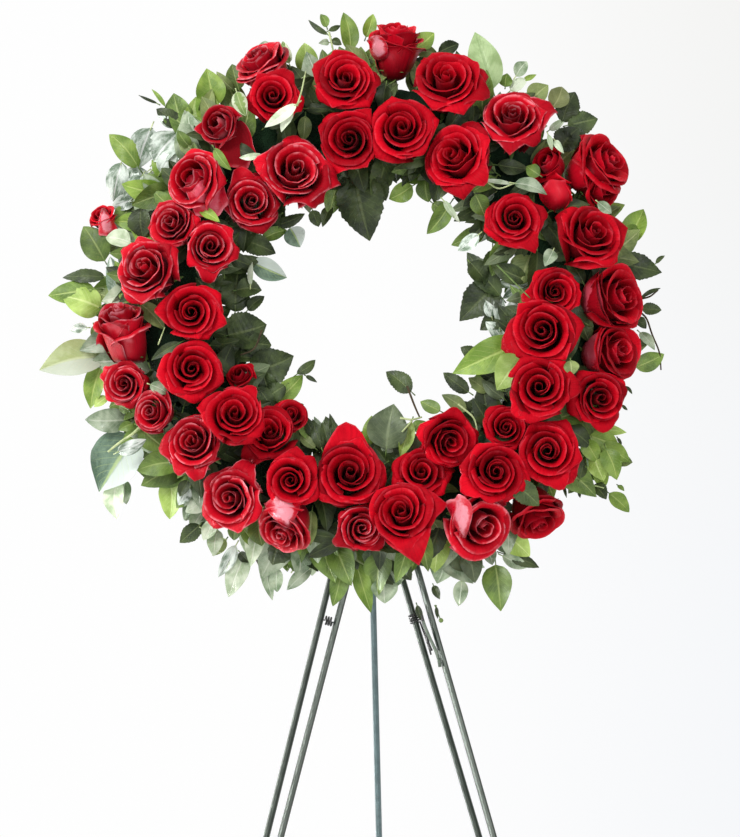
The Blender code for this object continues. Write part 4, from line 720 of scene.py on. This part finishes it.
def make_bloom(name, c, ax, R, openness=1.0, petals=18, seed=0, form="open", tall=1.0, lobes=(), tone0=.62, shine=None):
    rng = np.random.default_rng(seed)
    b = Build()
    x = np.cross(ax, [0.12, 0.31, 0.94]); x /= np.linalg.norm(x); y = np.cross(ax, x)
    M = np.array([x, y, ax])
    spin = rng.uniform(0, 2 * pi)
    hand = 1 if rng.random() < .5 else -1
    plan = PLANS[form](petals, openness, rng)
    where = [spin + k * radians(137.508) + rng.uniform(-.34, .34) * (1 + .2 * q["z"]) for k, q in enumerate(plan)]
    # the outer petals whose points show have a stated direction round the head
    for j, (deg, far) in enumerate(lobes):
        k = len(plan) - 1 - j
        D = cos(radians(deg)) * AX + sin(radians(deg)) * BX
        where[k] = np.arctan2(D @ y * hand, D @ x)
        plan[k] = dict(plan[k], rr=plan[k]["rr"] * (1 + (far - 1) * .8), pt=1.35, H=plan[k]["H"] + .05, half=82, tri=1)
    # one broad outer petal on the lit side carries a painted highlight pool on its back
    shiny = len(plan) - 1 - len(lobes) if shine is not None else -1
    if shine is not None:
        D = cos(radians(shine)) * AX + sin(radians(shine)) * BX
        where[shiny] = np.arctan2(D @ y * hand, D @ x)
        plan[shiny] = dict(plan[shiny], rr=.66, H=.40, half=66, roll=.10, bend=62)
    er = np.array([0] + [p["rr"] for p in plan] + [1.3]) * R
    eh = np.array([plan[0]["H"]] + [p["H"] for p in plan] + [plan[-1]["H"]]) * R
    o = np.argsort(er); er, eh = er[o], eh[o]
    for k, q_ in enumerate(plan):
        P, v, r, z = bloom_petal(q_, R, rng, where[k])
        # painted shade: deep is how far a point sits below the brims round it, and darkens the petal there
        deep = np.clip((np.interp(r, er, eh) - z) / R - .05, 0, .5) / .5
        P = P * np.array([1, hand, tall])
        if hand < 0:
            P = P[:, ::-1]; deep = deep[:, ::-1]
        Wp = settle((P @ M + c).copy(), name, c, R)
        # columns turn anticlockwise, so on the reversed grid the front normal points to the heart
        tone = float(np.clip(rng.normal(tone0, .15), .2, 1))
        face_cavity_shade = .58 if q_["z"] == 0 else .84
        # the backs of the outermost petals get less painted shade, as they stand in the light from outside as well
        back_cavity_shade = face_cavity_shade * (.25 if k >= len(plan) - 4 else (.6 if k >= len(plan) - 6 else 1.0))
        # the petal with the painted highlight pool is brighter and gets little painted shade
        if k == shiny:
            tone, back_cavity_shade = .8, .15
        b.shell(Wp[:, ::-1], 0.00045, 0, 4 if k == shiny else 1, tone * (1 - face_cavity_shade * deep[:, ::-1]), v, tone * (1 - back_cavity_shade * deep[:, ::-1]))
    # hip and sepals
    prof = np.array([[.03, -.66], [.16, -.70], [.20, -.80], [.17, -.92], [.11, -1.02], [.08, -1.06]]) * R
    ang = np.arange(12) * 2 * pi / 12
    rows = np.array([np.stack([p[0] * np.cos(ang), p[0] * np.sin(ang), np.full(12, p[1])], -1) for p in prof[::-1]]) @ M + c
    b.lofted(rows, 2, .5)
    for j in range(5):
        a = j * 2 * pi / 5 + rng.uniform(-.2, .2) + spin
        tt = np.linspace(0, 1, 9)[:, None]; uu = np.linspace(-1, 1, 5)[None, :]
        rad = R * (.10 + .62 * tt ** 1.1); zz = R * (-.80 + rng.uniform(-.18, .22) * tt ** 1.5 + .10 * tt)
        wd = R * .13 * (1 - tt) ** .8 + .0004 + 0 * uu
        P = np.stack([rad * cos(a) - wd * uu * sin(a), rad * sin(a) + wd * uu * cos(a), zz - .02 * R * np.abs(uu)], -1)
        P = settle((P @ M + c).copy(), name, c, R)
        b.shell(P, .0006, 2, 2, rng.uniform(.3, .8))
    return b, M, spin


def flap(b, pts, c, tone, sort, seed):
    """A broad outer petal that stands over the side of a head with its back to the front."""
    rng = np.random.default_rng(seed)
    G = np.array([ring(*pts[i:i + 3]) for i in range(0, 75, 3)]).reshape(5, 5, 3)
    x5 = np.linspace(0, 1, 5); xs = np.linspace(0, 1, 15)
    V5 = np.vander(x5, 5); Vs = np.vander(xs, 5); L = Vs @ np.linalg.inv(V5)
    P = np.einsum("ij,kl,jlc->ikc", L, L, G)
    t = xs[:, None, None]; s = (xs * 2 - 1)[None, :, None]
    out = P - c; out /= np.maximum(np.linalg.norm(out, axis=2, keepdims=True), 1e-9)
    size = np.linalg.norm(G[4, 2] - G[0, 2])
    P = P + out * size * .15 * np.clip((t - .74) / .26, 0, 1) ** 2
    P = P + out * size * .030 * np.sin(4.2 * s + rng.uniform(0, 6.3)) * t ** 3 + out * size * .014 * np.sin(9.0 * s + rng.uniform(0, 6.3)) * t ** 4
    along = (G[4, 2] - G[0, 2]) / size
    P = P + along * size * (.030 * np.sin(5.0 * s + rng.uniform(0, 6.3)) + .05 * np.exp(-(s / .25) ** 2)) * t ** 4
    n = np.cross(P[7, 8] - P[7, 6], P[8, 7] - P[6, 7])
    if n @ out[7, 7] < 0:
        P = P[:, ::-1]
    # painted shade: the flap darkens towards its base, and its hidden side is darker still
    b.shell(P, .0005, sort, 0, tone * (1 - .30 * (1 - smooth(xs, 0, .35)))[:, None] * np.ones((1, 15)), .34 + .66 * xs, tone * .4)


def foot_of(node):
    """Where the stem of a packed rose ends."""
    co = np.array([v.co for v in nodes[node].data.vertices], float)
    co = np.unique(co.round(6), axis=0)
    m = co.mean(0)
    far = co[np.argmax(((co - m) ** 2).sum(1))]
    return co[((co - far) ** 2).sum(1) < 0.0065 ** 2].mean(0)


def place(o, *stands_for, body="wreath_and_front", slot_name=None):
    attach(o, body)
    if stands_for:
        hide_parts(*stands_for)


PETALS = [P_FACE, P_BACK, SEPAL, P_HIGHLIGHT_POOL, P_SOFT_HIGHLIGHT_POOL]; LIP_HIGHLIGHT_PETALS = [P_FACE_LIP_HIGHLIGHT, P_BACK_LIP_HIGHLIGHT, SEPAL, P_HIGHLIGHT_POOL, P_SOFT_HIGHLIGHT_POOL]
for i, (k, v) in enumerate(BLOOMS.items()):
    c = CENTRE[k]; ax = facing(v); R = v[6] * 0.001
    form = FORM.get(k, "open")
    b, M, spin = make_bloom(k, c, ax, R, OPEN.get(k, 1.0), {"open": 18, "goblet": 14, "cup": 10}[form], SEED.get(k, 100 + i), form, TALL.get(k, 1.0),
                            LOBES.get(k, ()), TONE.get(k, .60), SHINE.get(k))
    for j, f in enumerate(FLAPS):
        if f[0] == k:
            flap(b, f[3], c, f[2], f[1], 900 + j)
    foot = foot_of("rose_" + k)
    s0 = c - ax * R * 1.0
    mid = (s0 + foot) / 2 + ax * R * -.12
    tt = np.linspace(0, 1, 8)[:, None]
    path = (1 - tt) ** 2 * s0 + 2 * (1 - tt) * tt * mid + tt ** 2 * foot
    b.tube(path, np.linspace(.0026, .0024, 8), 2, .4)
    place(b.make("bloom_" + k, LIP_HIGHLIGHT_PETALS if k in LIP_HIGHLIGHT_HEADS else PETALS), "rose_" + k, slot_name="petal")

# small buds and half-hidden flowers tucked between the heads
for nm, (a, bb, w, fx, fy, fz, r, op, n, form, tn) in EXTRA.items():
    c = ring(a, bb, w); ax = facing((0, 0, 0, fx, fy, fz))
    CENTRE[nm] = c; BLOOMS[nm] = (a, bb, w, fx, fy, fz, r)
    b, M, spin = make_bloom(nm, c, ax, r * .001, op, n, 500 + len(nm) + int(a), form, 1.0, (), tn, SHINE.get(nm))
    CENTRE.pop(nm); BLOOMS.pop(nm)
    for j, f in enumerate(FLAPS):
        if f[0] == nm:
            flap(b, f[3], c, f[2], f[1], 900 + j)
    tt = np.linspace(0, 1, 6)[:, None]
    foot = ring(a * .86, bb * .86, 30.0)
    s0 = c - ax * r * .001
    b.tube(s0 + (foot - s0) * tt, .0018, 2, .4)
    place(b.make("bloom_" + nm, PETALS), slot_name="petal")


# ---------------------------------------------------------------- leaves

def leaf(b, p0, p1, width, kind, rng, face=None, arch=None, keel=None, teeth=None, tilt=None, stalk=True, broad=None, fine=True):
    """One leaf from stalk end p0 to tip p1."""
    d = p1 - p0; L = np.linalg.norm(d); t = d / L
    f = WX if face is None else face
    f = f - t * (f @ t); f /= np.linalg.norm(f)
    a = rng.uniform(-.35, .35) if tilt is None else tilt
    s = np.cross(f, t)
    f, s = f * cos(a) + s * sin(a), s * cos(a) - f * sin(a)
    big = width > .020
    teeth = (kind == "D" and width > .013) if teeth is None else teeth
    nv = 37 if teeth and big else (25 if teeth else 14)
    nu = 9 if big else 7
    if not fine:
        nv, nu = (21 if teeth else 10), 7
    v = np.linspace(0, 1, nv)[:, None]; u = np.linspace(-1, 1, nu)[None, :]
    al, be = ((.60, .98) if width > .030 else (.62, .88)) if broad is None else broad
    al *= rng.uniform(.9, 1.1)
    h = (v ** al * (1 - v) ** be); h = h / h.max() * width / 2
    if teeth:
        nt = (12 if big else 9) if fine else 8
        saw = (v * nt) % 1.0
        h = h * (1 - .10 * (1 - saw))
    h = np.maximum(h, .00025)
    ar = rng.uniform(.03, .12) if arch is None else arch
    ke = rng.uniform(-.10, .38) if keel is None else keel
    sway = rng.uniform(-.06, .06)
    tw = rng.uniform(-.25, .25)
    drop = rng.uniform(.0, .10)
    P = p0 + d * v[..., None] + s * (sway * L * np.sin(pi * v))[..., None] + f * (ar * L * np.sin(pi * v ** .9) - drop * L * v ** 3)[..., None]
    au = np.abs(u)
    ang = tw * (v - .5) * 2
    cs, sn = np.cos(ang), np.sin(ang)
    across = h * u * cos(abs(ke) * .7)
    up = h * (ke * au - .10 * (1 - au ** 2) * np.sign(ke + .001)) \
        + h * .055 * np.cos(2 * pi * 8 * (v - .28 * au)) * au * (1.15 - au) * 2.2 \
        + h * .12 * np.sin(2 * pi * (1.6 * v) + rng.uniform(0, 6.3)) * au ** 2.5 * np.sign(u)
    P = P + s * (across * cs - up * sn)[..., None] + f * (across * sn + up * cs)[..., None]
    mi = KINDS.index(kind)
    b.shell(P[:, ::-1] if np.dot(np.cross(s, t), f) < 0 else P, .00045, mi, LEAF_UNDER[kind], float(np.clip(rng.normal(.5, .22), 0, 1)), v[:, 0])
    if stalk:
        n = 3; tt = np.linspace(0, 1, n)[:, None]
        q0 = p0 - t * L * .16 - f * L * .05
        b.tube(q0 + (P[1, nu // 2] - q0) * tt, np.linspace(.0007, .0005, n), 15 if kind in "WSVLHPZ" else 14, .5, sides=6)


def inside(a, b, lo, hi):
    r = sqrt(a * a + b * b)
    return lo < r < hi


GREEN_NODE = {"top": "greenery_top", "left": "greenery_left", "bottom": "greenery_bottom", "right": "greenery_right",
              "inner_left": "greenery_inner_left", "inner_right": "greenery_inner_right"}
GROUPS = {"top": ["top", "top_left", "top_right"], "left": ["left"], "bottom": ["bottom", "bottom_left"],
          "right": ["right", "bottom_right"], "inner_left": ["inner_left"], "inner_right": ["inner_right"]}
rng = np.random.default_rng(7)
for part, groups in GROUPS.items():
    b = Build()
    for g in groups:
        for kind, a0, b0, a1, b1, wd, w in LEAVES[g]:
            p0 = ring(a0, b0, w + rng.uniform(-3, 3)); p1 = ring(a1, b1, w + rng.uniform(-7, 5))
            # out of the face the leaf shows full width; foreshorten a little
            leaf(b, p0, p1, wd * .001 * (1.10 if wd > 12 else 1.2), kind, rng, tilt=rng.uniform(-.25, .25))
    place(b.make("foliage_" + part, LEAF_MATS), GREEN_NODE[part], slot_name="leaf")

b = Build()
for row in TWIGS:
    kind, rad, w = row[:3]; q = row[3:]
    pts = np.array([ring(q[i], q[i + 1], w) for i in range(0, len(q), 2)])
    n = 4 * len(pts)
    s = np.linspace(0, len(pts) - 1, n); i = np.clip(s.astype(int), 0, len(pts) - 2); f = (s - i)[:, None]
    P = pts[i] * (1 - f) + pts[i + 1] * f
    for _ in range(3):
        P[1:-1] = (P[:-2] + 2 * P[1:-1] + P[2:]) / 4
    b.tube(P, np.linspace(rad * .001, rad * .0007, n), TWIG_MAT[kind], .5)
place(b.make("twigs", LEAF_MATS), slot_name="leaf")

# leaves between and behind the heads: they hide the foam and the tray
rng = np.random.default_rng(23)


def outline(th, table):
    a = np.array([x for x, _ in table], float); r = np.array([y for _, y in table], float)
    return float(np.interp(th % 360, np.append(a, a[0] + 360), np.append(r, r[0])))


def clash(a0, b0, w0, a1, b1, w1, wd):
    """True if a leaf on this line would come up through a flower head."""
    t = np.linspace(.15, 1, 6)[:, None]
    P = ring(a0, b0, w0) + t * (ring(a1, b1, w1) - ring(a0, b0, w0))
    for k, c in CENTRE.items():
        R = BLOOMS[k][6] * .001; ax = facing(BLOOMS[k])
        d = P - c; h = d @ ax; q = np.linalg.norm(d - h[:, None] * ax, axis=1)
        if ((h > -.30 * R) & (h < .8 * R) & (q < .88 * R + wd * .0003)).any():
            return True
    return False


def scatter(name, count, rad, depth, length, width, kinds, spread, reach=None, lead=1.0, lo_reach=None, arc=(0, 360)):
    b = Build(); made = 0; tries = 0
    while made < count and tries < count * 40:
        tries += 1
        th = rng.uniform(*arc); r = rng.uniform(*rad); w = rng.uniform(*depth)
        out = rng.uniform(-spread, spread)
        L = rng.uniform(*length); wd = rng.uniform(*width) * L / 45.0
        ang = radians(th); dr = ang + radians(out) + (0 if lead > 0 else pi)
        a0, b0 = r * cos(ang), r * sin(ang)
        a1, b1 = a0 + L * cos(dr), b0 + L * sin(dr)
        R1 = sqrt(a1 * a1 + b1 * b1); th1 = degrees(np.arctan2(b1, a1)) % 360
        if reach and R1 > outline(th1, reach):
            continue
        if lo_reach and R1 < outline(th1, lo_reach):
            continue
        rise = rng.uniform(-6, 10)
        if clash(a0, b0, w, a1, b1, max(w + rise, 8.0), wd):
            continue
        p0 = ring(a0, b0, w); p1 = ring(a1, b1, max(w + rise, 8.0))
        ks = kinds(th) if callable(kinds) else kinds
        kind = ks[rng.integers(len(ks))]
        face = WX * cos(.5) + (cos(ang) * AX + sin(ang) * BX) * rng.uniform(-.6, .6)
        leaf(b, p0, p1, wd * .001, kind, rng, face=face / np.linalg.norm(face), teeth=False if L < 40 else None, fine=False)
        made += 1
    o = b.make(name, LEAF_MATS); place(o, slot_name="leaf")
    return made


OUTER = ["top", "top_left", "top_right", "left", "bottom", "bottom_left", "right", "bottom_right"]


def edge_table(groups, worst, width, default):
    """Radius of the furthest (or nearest) leaf by angle about the ring's centre."""
    pts = []
    for g in groups:
        for kind, a0, b0, a1, b1, wd, w in LEAVES[g]:
            for t in (.3, .65, 1.0):
                a = a0 + (a1 - a0) * t; bb = b0 + (b1 - b0) * t
                pts.append((degrees(np.arctan2(bb, a)) % 360, sqrt(a * a + bb * bb)))
    pts = np.array(pts); out = []
    for th in range(0, 360, 6):
        d = np.abs((pts[:, 0] - th + 180) % 360 - 180)
        near = pts[d < width, 1]
        out.append((th, worst(near) if len(near) else default))
    return out


REACH = [(t, r * .955) for t, r in edge_table(OUTER, np.max, 5.0, 262.0)]
EYE = [(t, r + 7.0) for t, r in edge_table(["inner_left", "inner_right"], np.min, 5.0, 150.0)]
n = []


def outer_sorts(th):
    """Which sorts of leaf grow where: silvery and pale, partly painted glare, on the lit left, greener at the top and
    right.
    """
    th = th % 360
    if 125 < th < 185:
        return "SWGSBYS"
    if 185 <= th < 245:
        return "WSBGWSKG"
    if 245 <= th < 300:
        return "SGWSBGKS"
    if th >= 300 or th < 20:
        return "GYDGSY"
    return "GBGDYSG"


n.append(scatter("filler_outer_low", 150, (214, 244), (12, 40), (34, 58), (21, 29), outer_sorts, 55, reach=REACH))
n.append(scatter("filler_outer_back", 70, (226, 242), (-2, 14), (30, 50), (20, 27), outer_sorts, 40, reach=REACH))
n.append(scatter("filler_outer_high", 70, (210, 236), (38, 58), (30, 50), (18, 26), "GDDYGD", 60, reach=REACH))
n.append(scatter("filler_heads", 190, (156, 236), (53, 66), (26, 46), (16, 26), lambda th: "DDDDDG" if (th % 360 < 90 or th % 360 > 270) else "DDDDD", 180, reach=REACH, lo_reach=EYE))
n.append(scatter("filler_eye_dark", 110, (154, 180), (18, 56), (26, 48), (18, 28), "DDMDDD", 55, lead=-1, lo_reach=EYE, arc=(60, 330)))
n.append(scatter("filler_eye_right", 60, (154, 180), (18, 56), (26, 44), (16, 25), "DSMDGZ", 55, lead=-1, lo_reach=EYE, arc=(-40, 70)))
n.append(scatter("filler_eye_rim", 70, (150, 168), (30, 60), (20, 34), (13, 20), "DDMDD", 180, lo_reach=EYE))
print("filler leaves", n)

# ---------------------------------------------------------------- the stand, the tray and the foam

ENAMEL = plain_material("dark_green_enamel", srgb(9, 18, 11), srgb(17, 28, 19), 0.33, 0.85, 90.0, 0.00012, wear=srgb(56, 66, 58), tint=(.90, 1.0, .90))
REAR = plain_material("dark_green_enamel_rear", srgb(62, 82, 84), srgb(80, 102, 104), 0.40, 0.75, 90.0, 0.00012, wear=srgb(104, 120, 120), tint=(.88, .98, 1.0))
TRAY = plain_material("tray_plastic", srgb(16, 34, 22), srgb(28, 50, 34), 0.42, 0.4, 60.0, 0.0003)
WIREM = plain_material("black_tie_wire", srgb(14, 14, 14), srgb(34, 34, 32), 0.40, 0.5, 300.0, 0.0003)
TAPE = plain_material("grey_green_tape", srgb(70, 82, 70), srgb(120, 130, 118), 0.7, 0.2, 160.0, 0.0002)
FOAM = foam_material()


def paint(node, mat):
    o = nodes[node]
    for s in o.material_slots:
        s.link = "OBJECT"; s.material = mat
    if not o.material_slots:
        o.data.materials.append(mat)


def coated(node, mat, body, lo, hi, thick=.00045):
    """The rod with its dipped coat: full thickness below lo, none above hi, so the hinge stays free."""
    o = nodes[node]; me = o.data
    co = np.empty(len(me.vertices) * 3); me.vertices.foreach_get("co", co)
    nr = np.empty(len(me.vertices) * 3); me.vertex_normals.foreach_get("vector", nr)
    M = np.array(o.matrix_world); co = co.reshape(-1, 3) @ M[:3, :3].T + M[:3, 3]
    nr = nr.reshape(-1, 3) @ M[:3, :3].T; nr /= np.maximum(np.linalg.norm(nr, axis=1, keepdims=True), 1e-9)
    k = 1 - smooth(co[:, 2], lo, hi)
    co = co + nr * (thick * k)[:, None]
    co[:, 2] = np.maximum(co[:, 2], 0.0)
    nm = bpy.data.meshes.new(node + "_coated")
    nm.from_pydata([tuple(p) for p in co], [], [tuple(f.vertices) for f in me.polygons])
    nm.polygons.foreach_set("use_smooth", [f.use_smooth for f in me.polygons])
    if "sharp_edge" in me.attributes:
        flag = {tuple(sorted(e.vertices)): e.use_edge_sharp for e in me.edges}
        for e in nm.edges:
            e.use_edge_sharp = flag.get(tuple(sorted(e.vertices)), False)
    nm.materials.append(mat); nm.update()
    q = bpy.data.objects.new(node + "_coated", nm); bpy.context.scene.collection.objects.link(q)
    place(q, node, body=body, slot_name="enamel")


coated("front_legs", ENAMEL, "wreath_and_front", .74, .80)
coated("rear_leg", REAR, "rear_leg", .74, .80)
for nm, mt in (("hinge_bar", ENAMEL), ("support_prongs", ENAMEL),
               ("ring_tray", TRAY), ("foam_ring", FOAM), ("binding_left", WIREM), ("binding_right", WIREM)):
    paint(nm, mt)

# ends of the tie, a leaf and a berry caught on the right-hand rods
def curve(b, pts, rad, mat, shade=.5):
    P = np.array([ring(*p) for p in pts]); n = 5 * len(P)
    s = np.linspace(0, len(P) - 1, n); i = np.clip(s.astype(int), 0, len(P) - 2); f = (s - i)[:, None]
    Q = P[i] * (1 - f) + P[i + 1] * f
    for _ in range(4):
        Q[1:-1] = (Q[:-2] + 2 * Q[1:-1] + Q[2:]) / 4
    b.tube(Q, rad, mat, shade, sides=8)


b = Build()
curve(b, TIE_DARK, .0016, 0); curve(b, TIE_GREY, .0017, 1)
place(b.make("tie_ends", [WIREM, TAPE]), slot_name="binding")
b = Build(); rng = np.random.default_rng(5)
for p0, p1, wd, kind in TIE_LEAVES:
    leaf(b, ring(*p0), ring(*p1), wd * .001, kind, rng, tilt=.1, teeth=False)
curve(b, BERRY_STEM, .0006, 14)
c = ring(*BERRY_STEM[-1]); rr = .0024
ph = np.linspace(.12, pi - .12, 9)
ang = np.arange(12) * 2 * pi / 12
rows = np.array([np.stack([rr * sin(p) * np.cos(ang), rr * sin(p) * np.sin(ang), np.full(12, -rr * cos(p))], -1) for p in ph]) + c
b.lofted(rows, 14, .6)
place(b.make("tie_leaf_and_berry", LEAF_MATS), slot_name="leaf")

# ---------------------------------------------------------------- floor, light and camera

scene = bpy.context.scene
scene.view_settings.view_transform = "Standard"
scene.view_settings.look = "None"
scene.view_settings.exposure = 0.0
scene.view_settings.gamma = 1.0

world = bpy.data.worlds.new("studio"); scene.world = world; world.use_nodes = True
nt = world.node_tree; bg = nt.nodes["Background"]
g = N(nt, "ShaderNodeTexCoord").outputs["Generated"]
s = N(nt, "ShaderNodeSeparateXYZ", {0: g})
f = ramp(nt, s.outputs[0], -0.03, 0.16)
f2 = ramp(nt, s.outputs[2], 0.10, -0.16)
right = mix(nt, f2, (.885, .885, .870), (.905, .920, .945))
ahead = mix(nt, f, (.992, .992, .992), right)
# away from the backdrop the room is brighter to the left and above than to the right
side = ramp(nt, s.outputs[0], 0.75, -0.65, 0.48, 0.92)
lift = mth(nt, "ADD", side, ramp(nt, s.outputs[2], 0.0, 0.9, 0.0, 0.25))
room = N(nt, "ShaderNodeCombineColor", {0: lift, 1: lift, 2: lift}).outputs[0]
col = mix(nt, ramp(nt, s.outputs[1], 0.80, 0.95), room, ahead)
nt.links.new(col, bg.inputs["Color"]); bg.inputs["Strength"].default_value = 1.0


def area(name, loc, target, size, power, color=(1, 1, 1), size_y=None):
    l = bpy.data.lights.new(name, "AREA"); l.energy = power; l.color = color
    l.shape = "RECTANGLE" if size_y else "DISK"; l.size = size
    if size_y:
        l.size_y = size_y
    o = bpy.data.objects.new(name, l); scene.collection.objects.link(o)
    loc = np.array(loc, float); d = np.array(target, float) - loc; d /= np.linalg.norm(d)
    z = -d; x = np.cross([0, 0, 1.0], z); x /= np.linalg.norm(x); y = np.cross(z, x)
    M = Matrix(((x[0], y[0], z[0], loc[0]), (x[1], y[1], z[1], loc[1]), (x[2], y[2], z[2], loc[2]), (0, 0, 0, 1)))
    o.matrix_world = M
    return o


area("key", (-1.4, -2.2, 2.7), (0, -.1, 1.0), 1.0, 52.0)
area("fill", (1.2, -2.8, 1.2), (0, -.1, 1.0), 1.6, 26.0)
area("left_box", (-2.1, .45, 1.0), (0, -.05, .75), 0.8, 40.0, size_y=2.4)
# two low cards give the rods the soft gleam down their left sides
for nm, az, pw in (("card_near", 54.0, .9), ("card_far", 84.0, 4.4)):
    d = np.array([-sin(radians(az)), -cos(radians(az)), 0.0])
    card = area(nm, tuple(np.array([-.10, -.12, .46]) + d * 1.8), (-.10, -.12, .46), 0.55, pw, size_y=0.75)
    card.data.spread = radians(26); card.visible_diffuse = False

floor_r = 2.1
ang = np.linspace(0, 2 * pi, 97)[:-1]
rad = [0.0] + list(np.linspace(.15, floor_r, 14))
verts = [(0, 0, 0)] + [(r * cos(a), r * sin(a), 0) for r in rad[1:] for a in ang]
faces = [(0, 1 + i, 1 + (i + 1) % 96) for i in range(96)]
for j in range(13):
    faces += [(1 + j * 96 + i, 1 + (j + 1) * 96 + i, 1 + (j + 1) * 96 + (i + 1) % 96, 1 + j * 96 + (i + 1) % 96) for i in range(96)]
me = bpy.data.meshes.new("floor"); me.from_pydata(verts, [], faces); me.update()
floor = bpy.data.objects.new("floor", me); scene.collection.objects.link(floor)
floor.location.z = -0.0006
m, nt, b = new_mat("pale_floor")
pos = N(nt, "ShaderNodeTexCoord").outputs["Object"]
ln = N(nt, "ShaderNodeVectorMath", {0: pos}, operation="LENGTH").outputs["Value"]
b.inputs["Base Color"].default_value = (.82, .82, .81, 1)
nt.links.new(mix(nt, ramp(nt, noise(nt, pos, 6.0), .3, .7), (.80, .80, .79), (.84, .84, .835)), b.inputs["Base Color"])
b.inputs["Roughness"].default_value = .8
b.inputs["Specular IOR Level"].default_value = .2
em = N(nt, "ShaderNodeEmission", {"Color": (.992, .992, .992, 1), "Strength": 1.0})
ms = N(nt, "ShaderNodeMixShader", {0: ramp(nt, ln, 1.1, 2.05), 1: b.outputs[0], 2: em.outputs[0]})
nt.links.new(ms.outputs[0], nt.nodes["Material Output"].inputs["Surface"])
me.materials.append(m)

cam = bpy.data.cameras.new("camera"); cam.sensor_width = 36.0; cam.sensor_fit = "AUTO"
cam.lens = 131.18; cam.clip_start = .05; cam.clip_end = 60.0
oc = bpy.data.objects.new("camera", cam); scene.collection.objects.link(oc)
yaw, pit, rol = -0.0143964, -0.0698132, -0.0190516
fw = np.array([sin(yaw) * cos(pit), cos(yaw) * cos(pit), sin(pit)])
rt = np.array([cos(yaw), -sin(yaw), 0.0]); up = np.cross(rt, fw)
r2 = rt * cos(rol) + up * sin(rol); u2 = -rt * sin(rol) + up * cos(rol)
loc = (0.0577427, -3.2, 1.1234818)
oc.matrix_world = Matrix(((r2[0], u2[0], -fw[0], loc[0]), (r2[1], u2[1], -fw[1], loc[1]), (r2[2], u2[2], -fw[2], loc[2]), (0, 0, 0, 1)))
scene.camera = oc
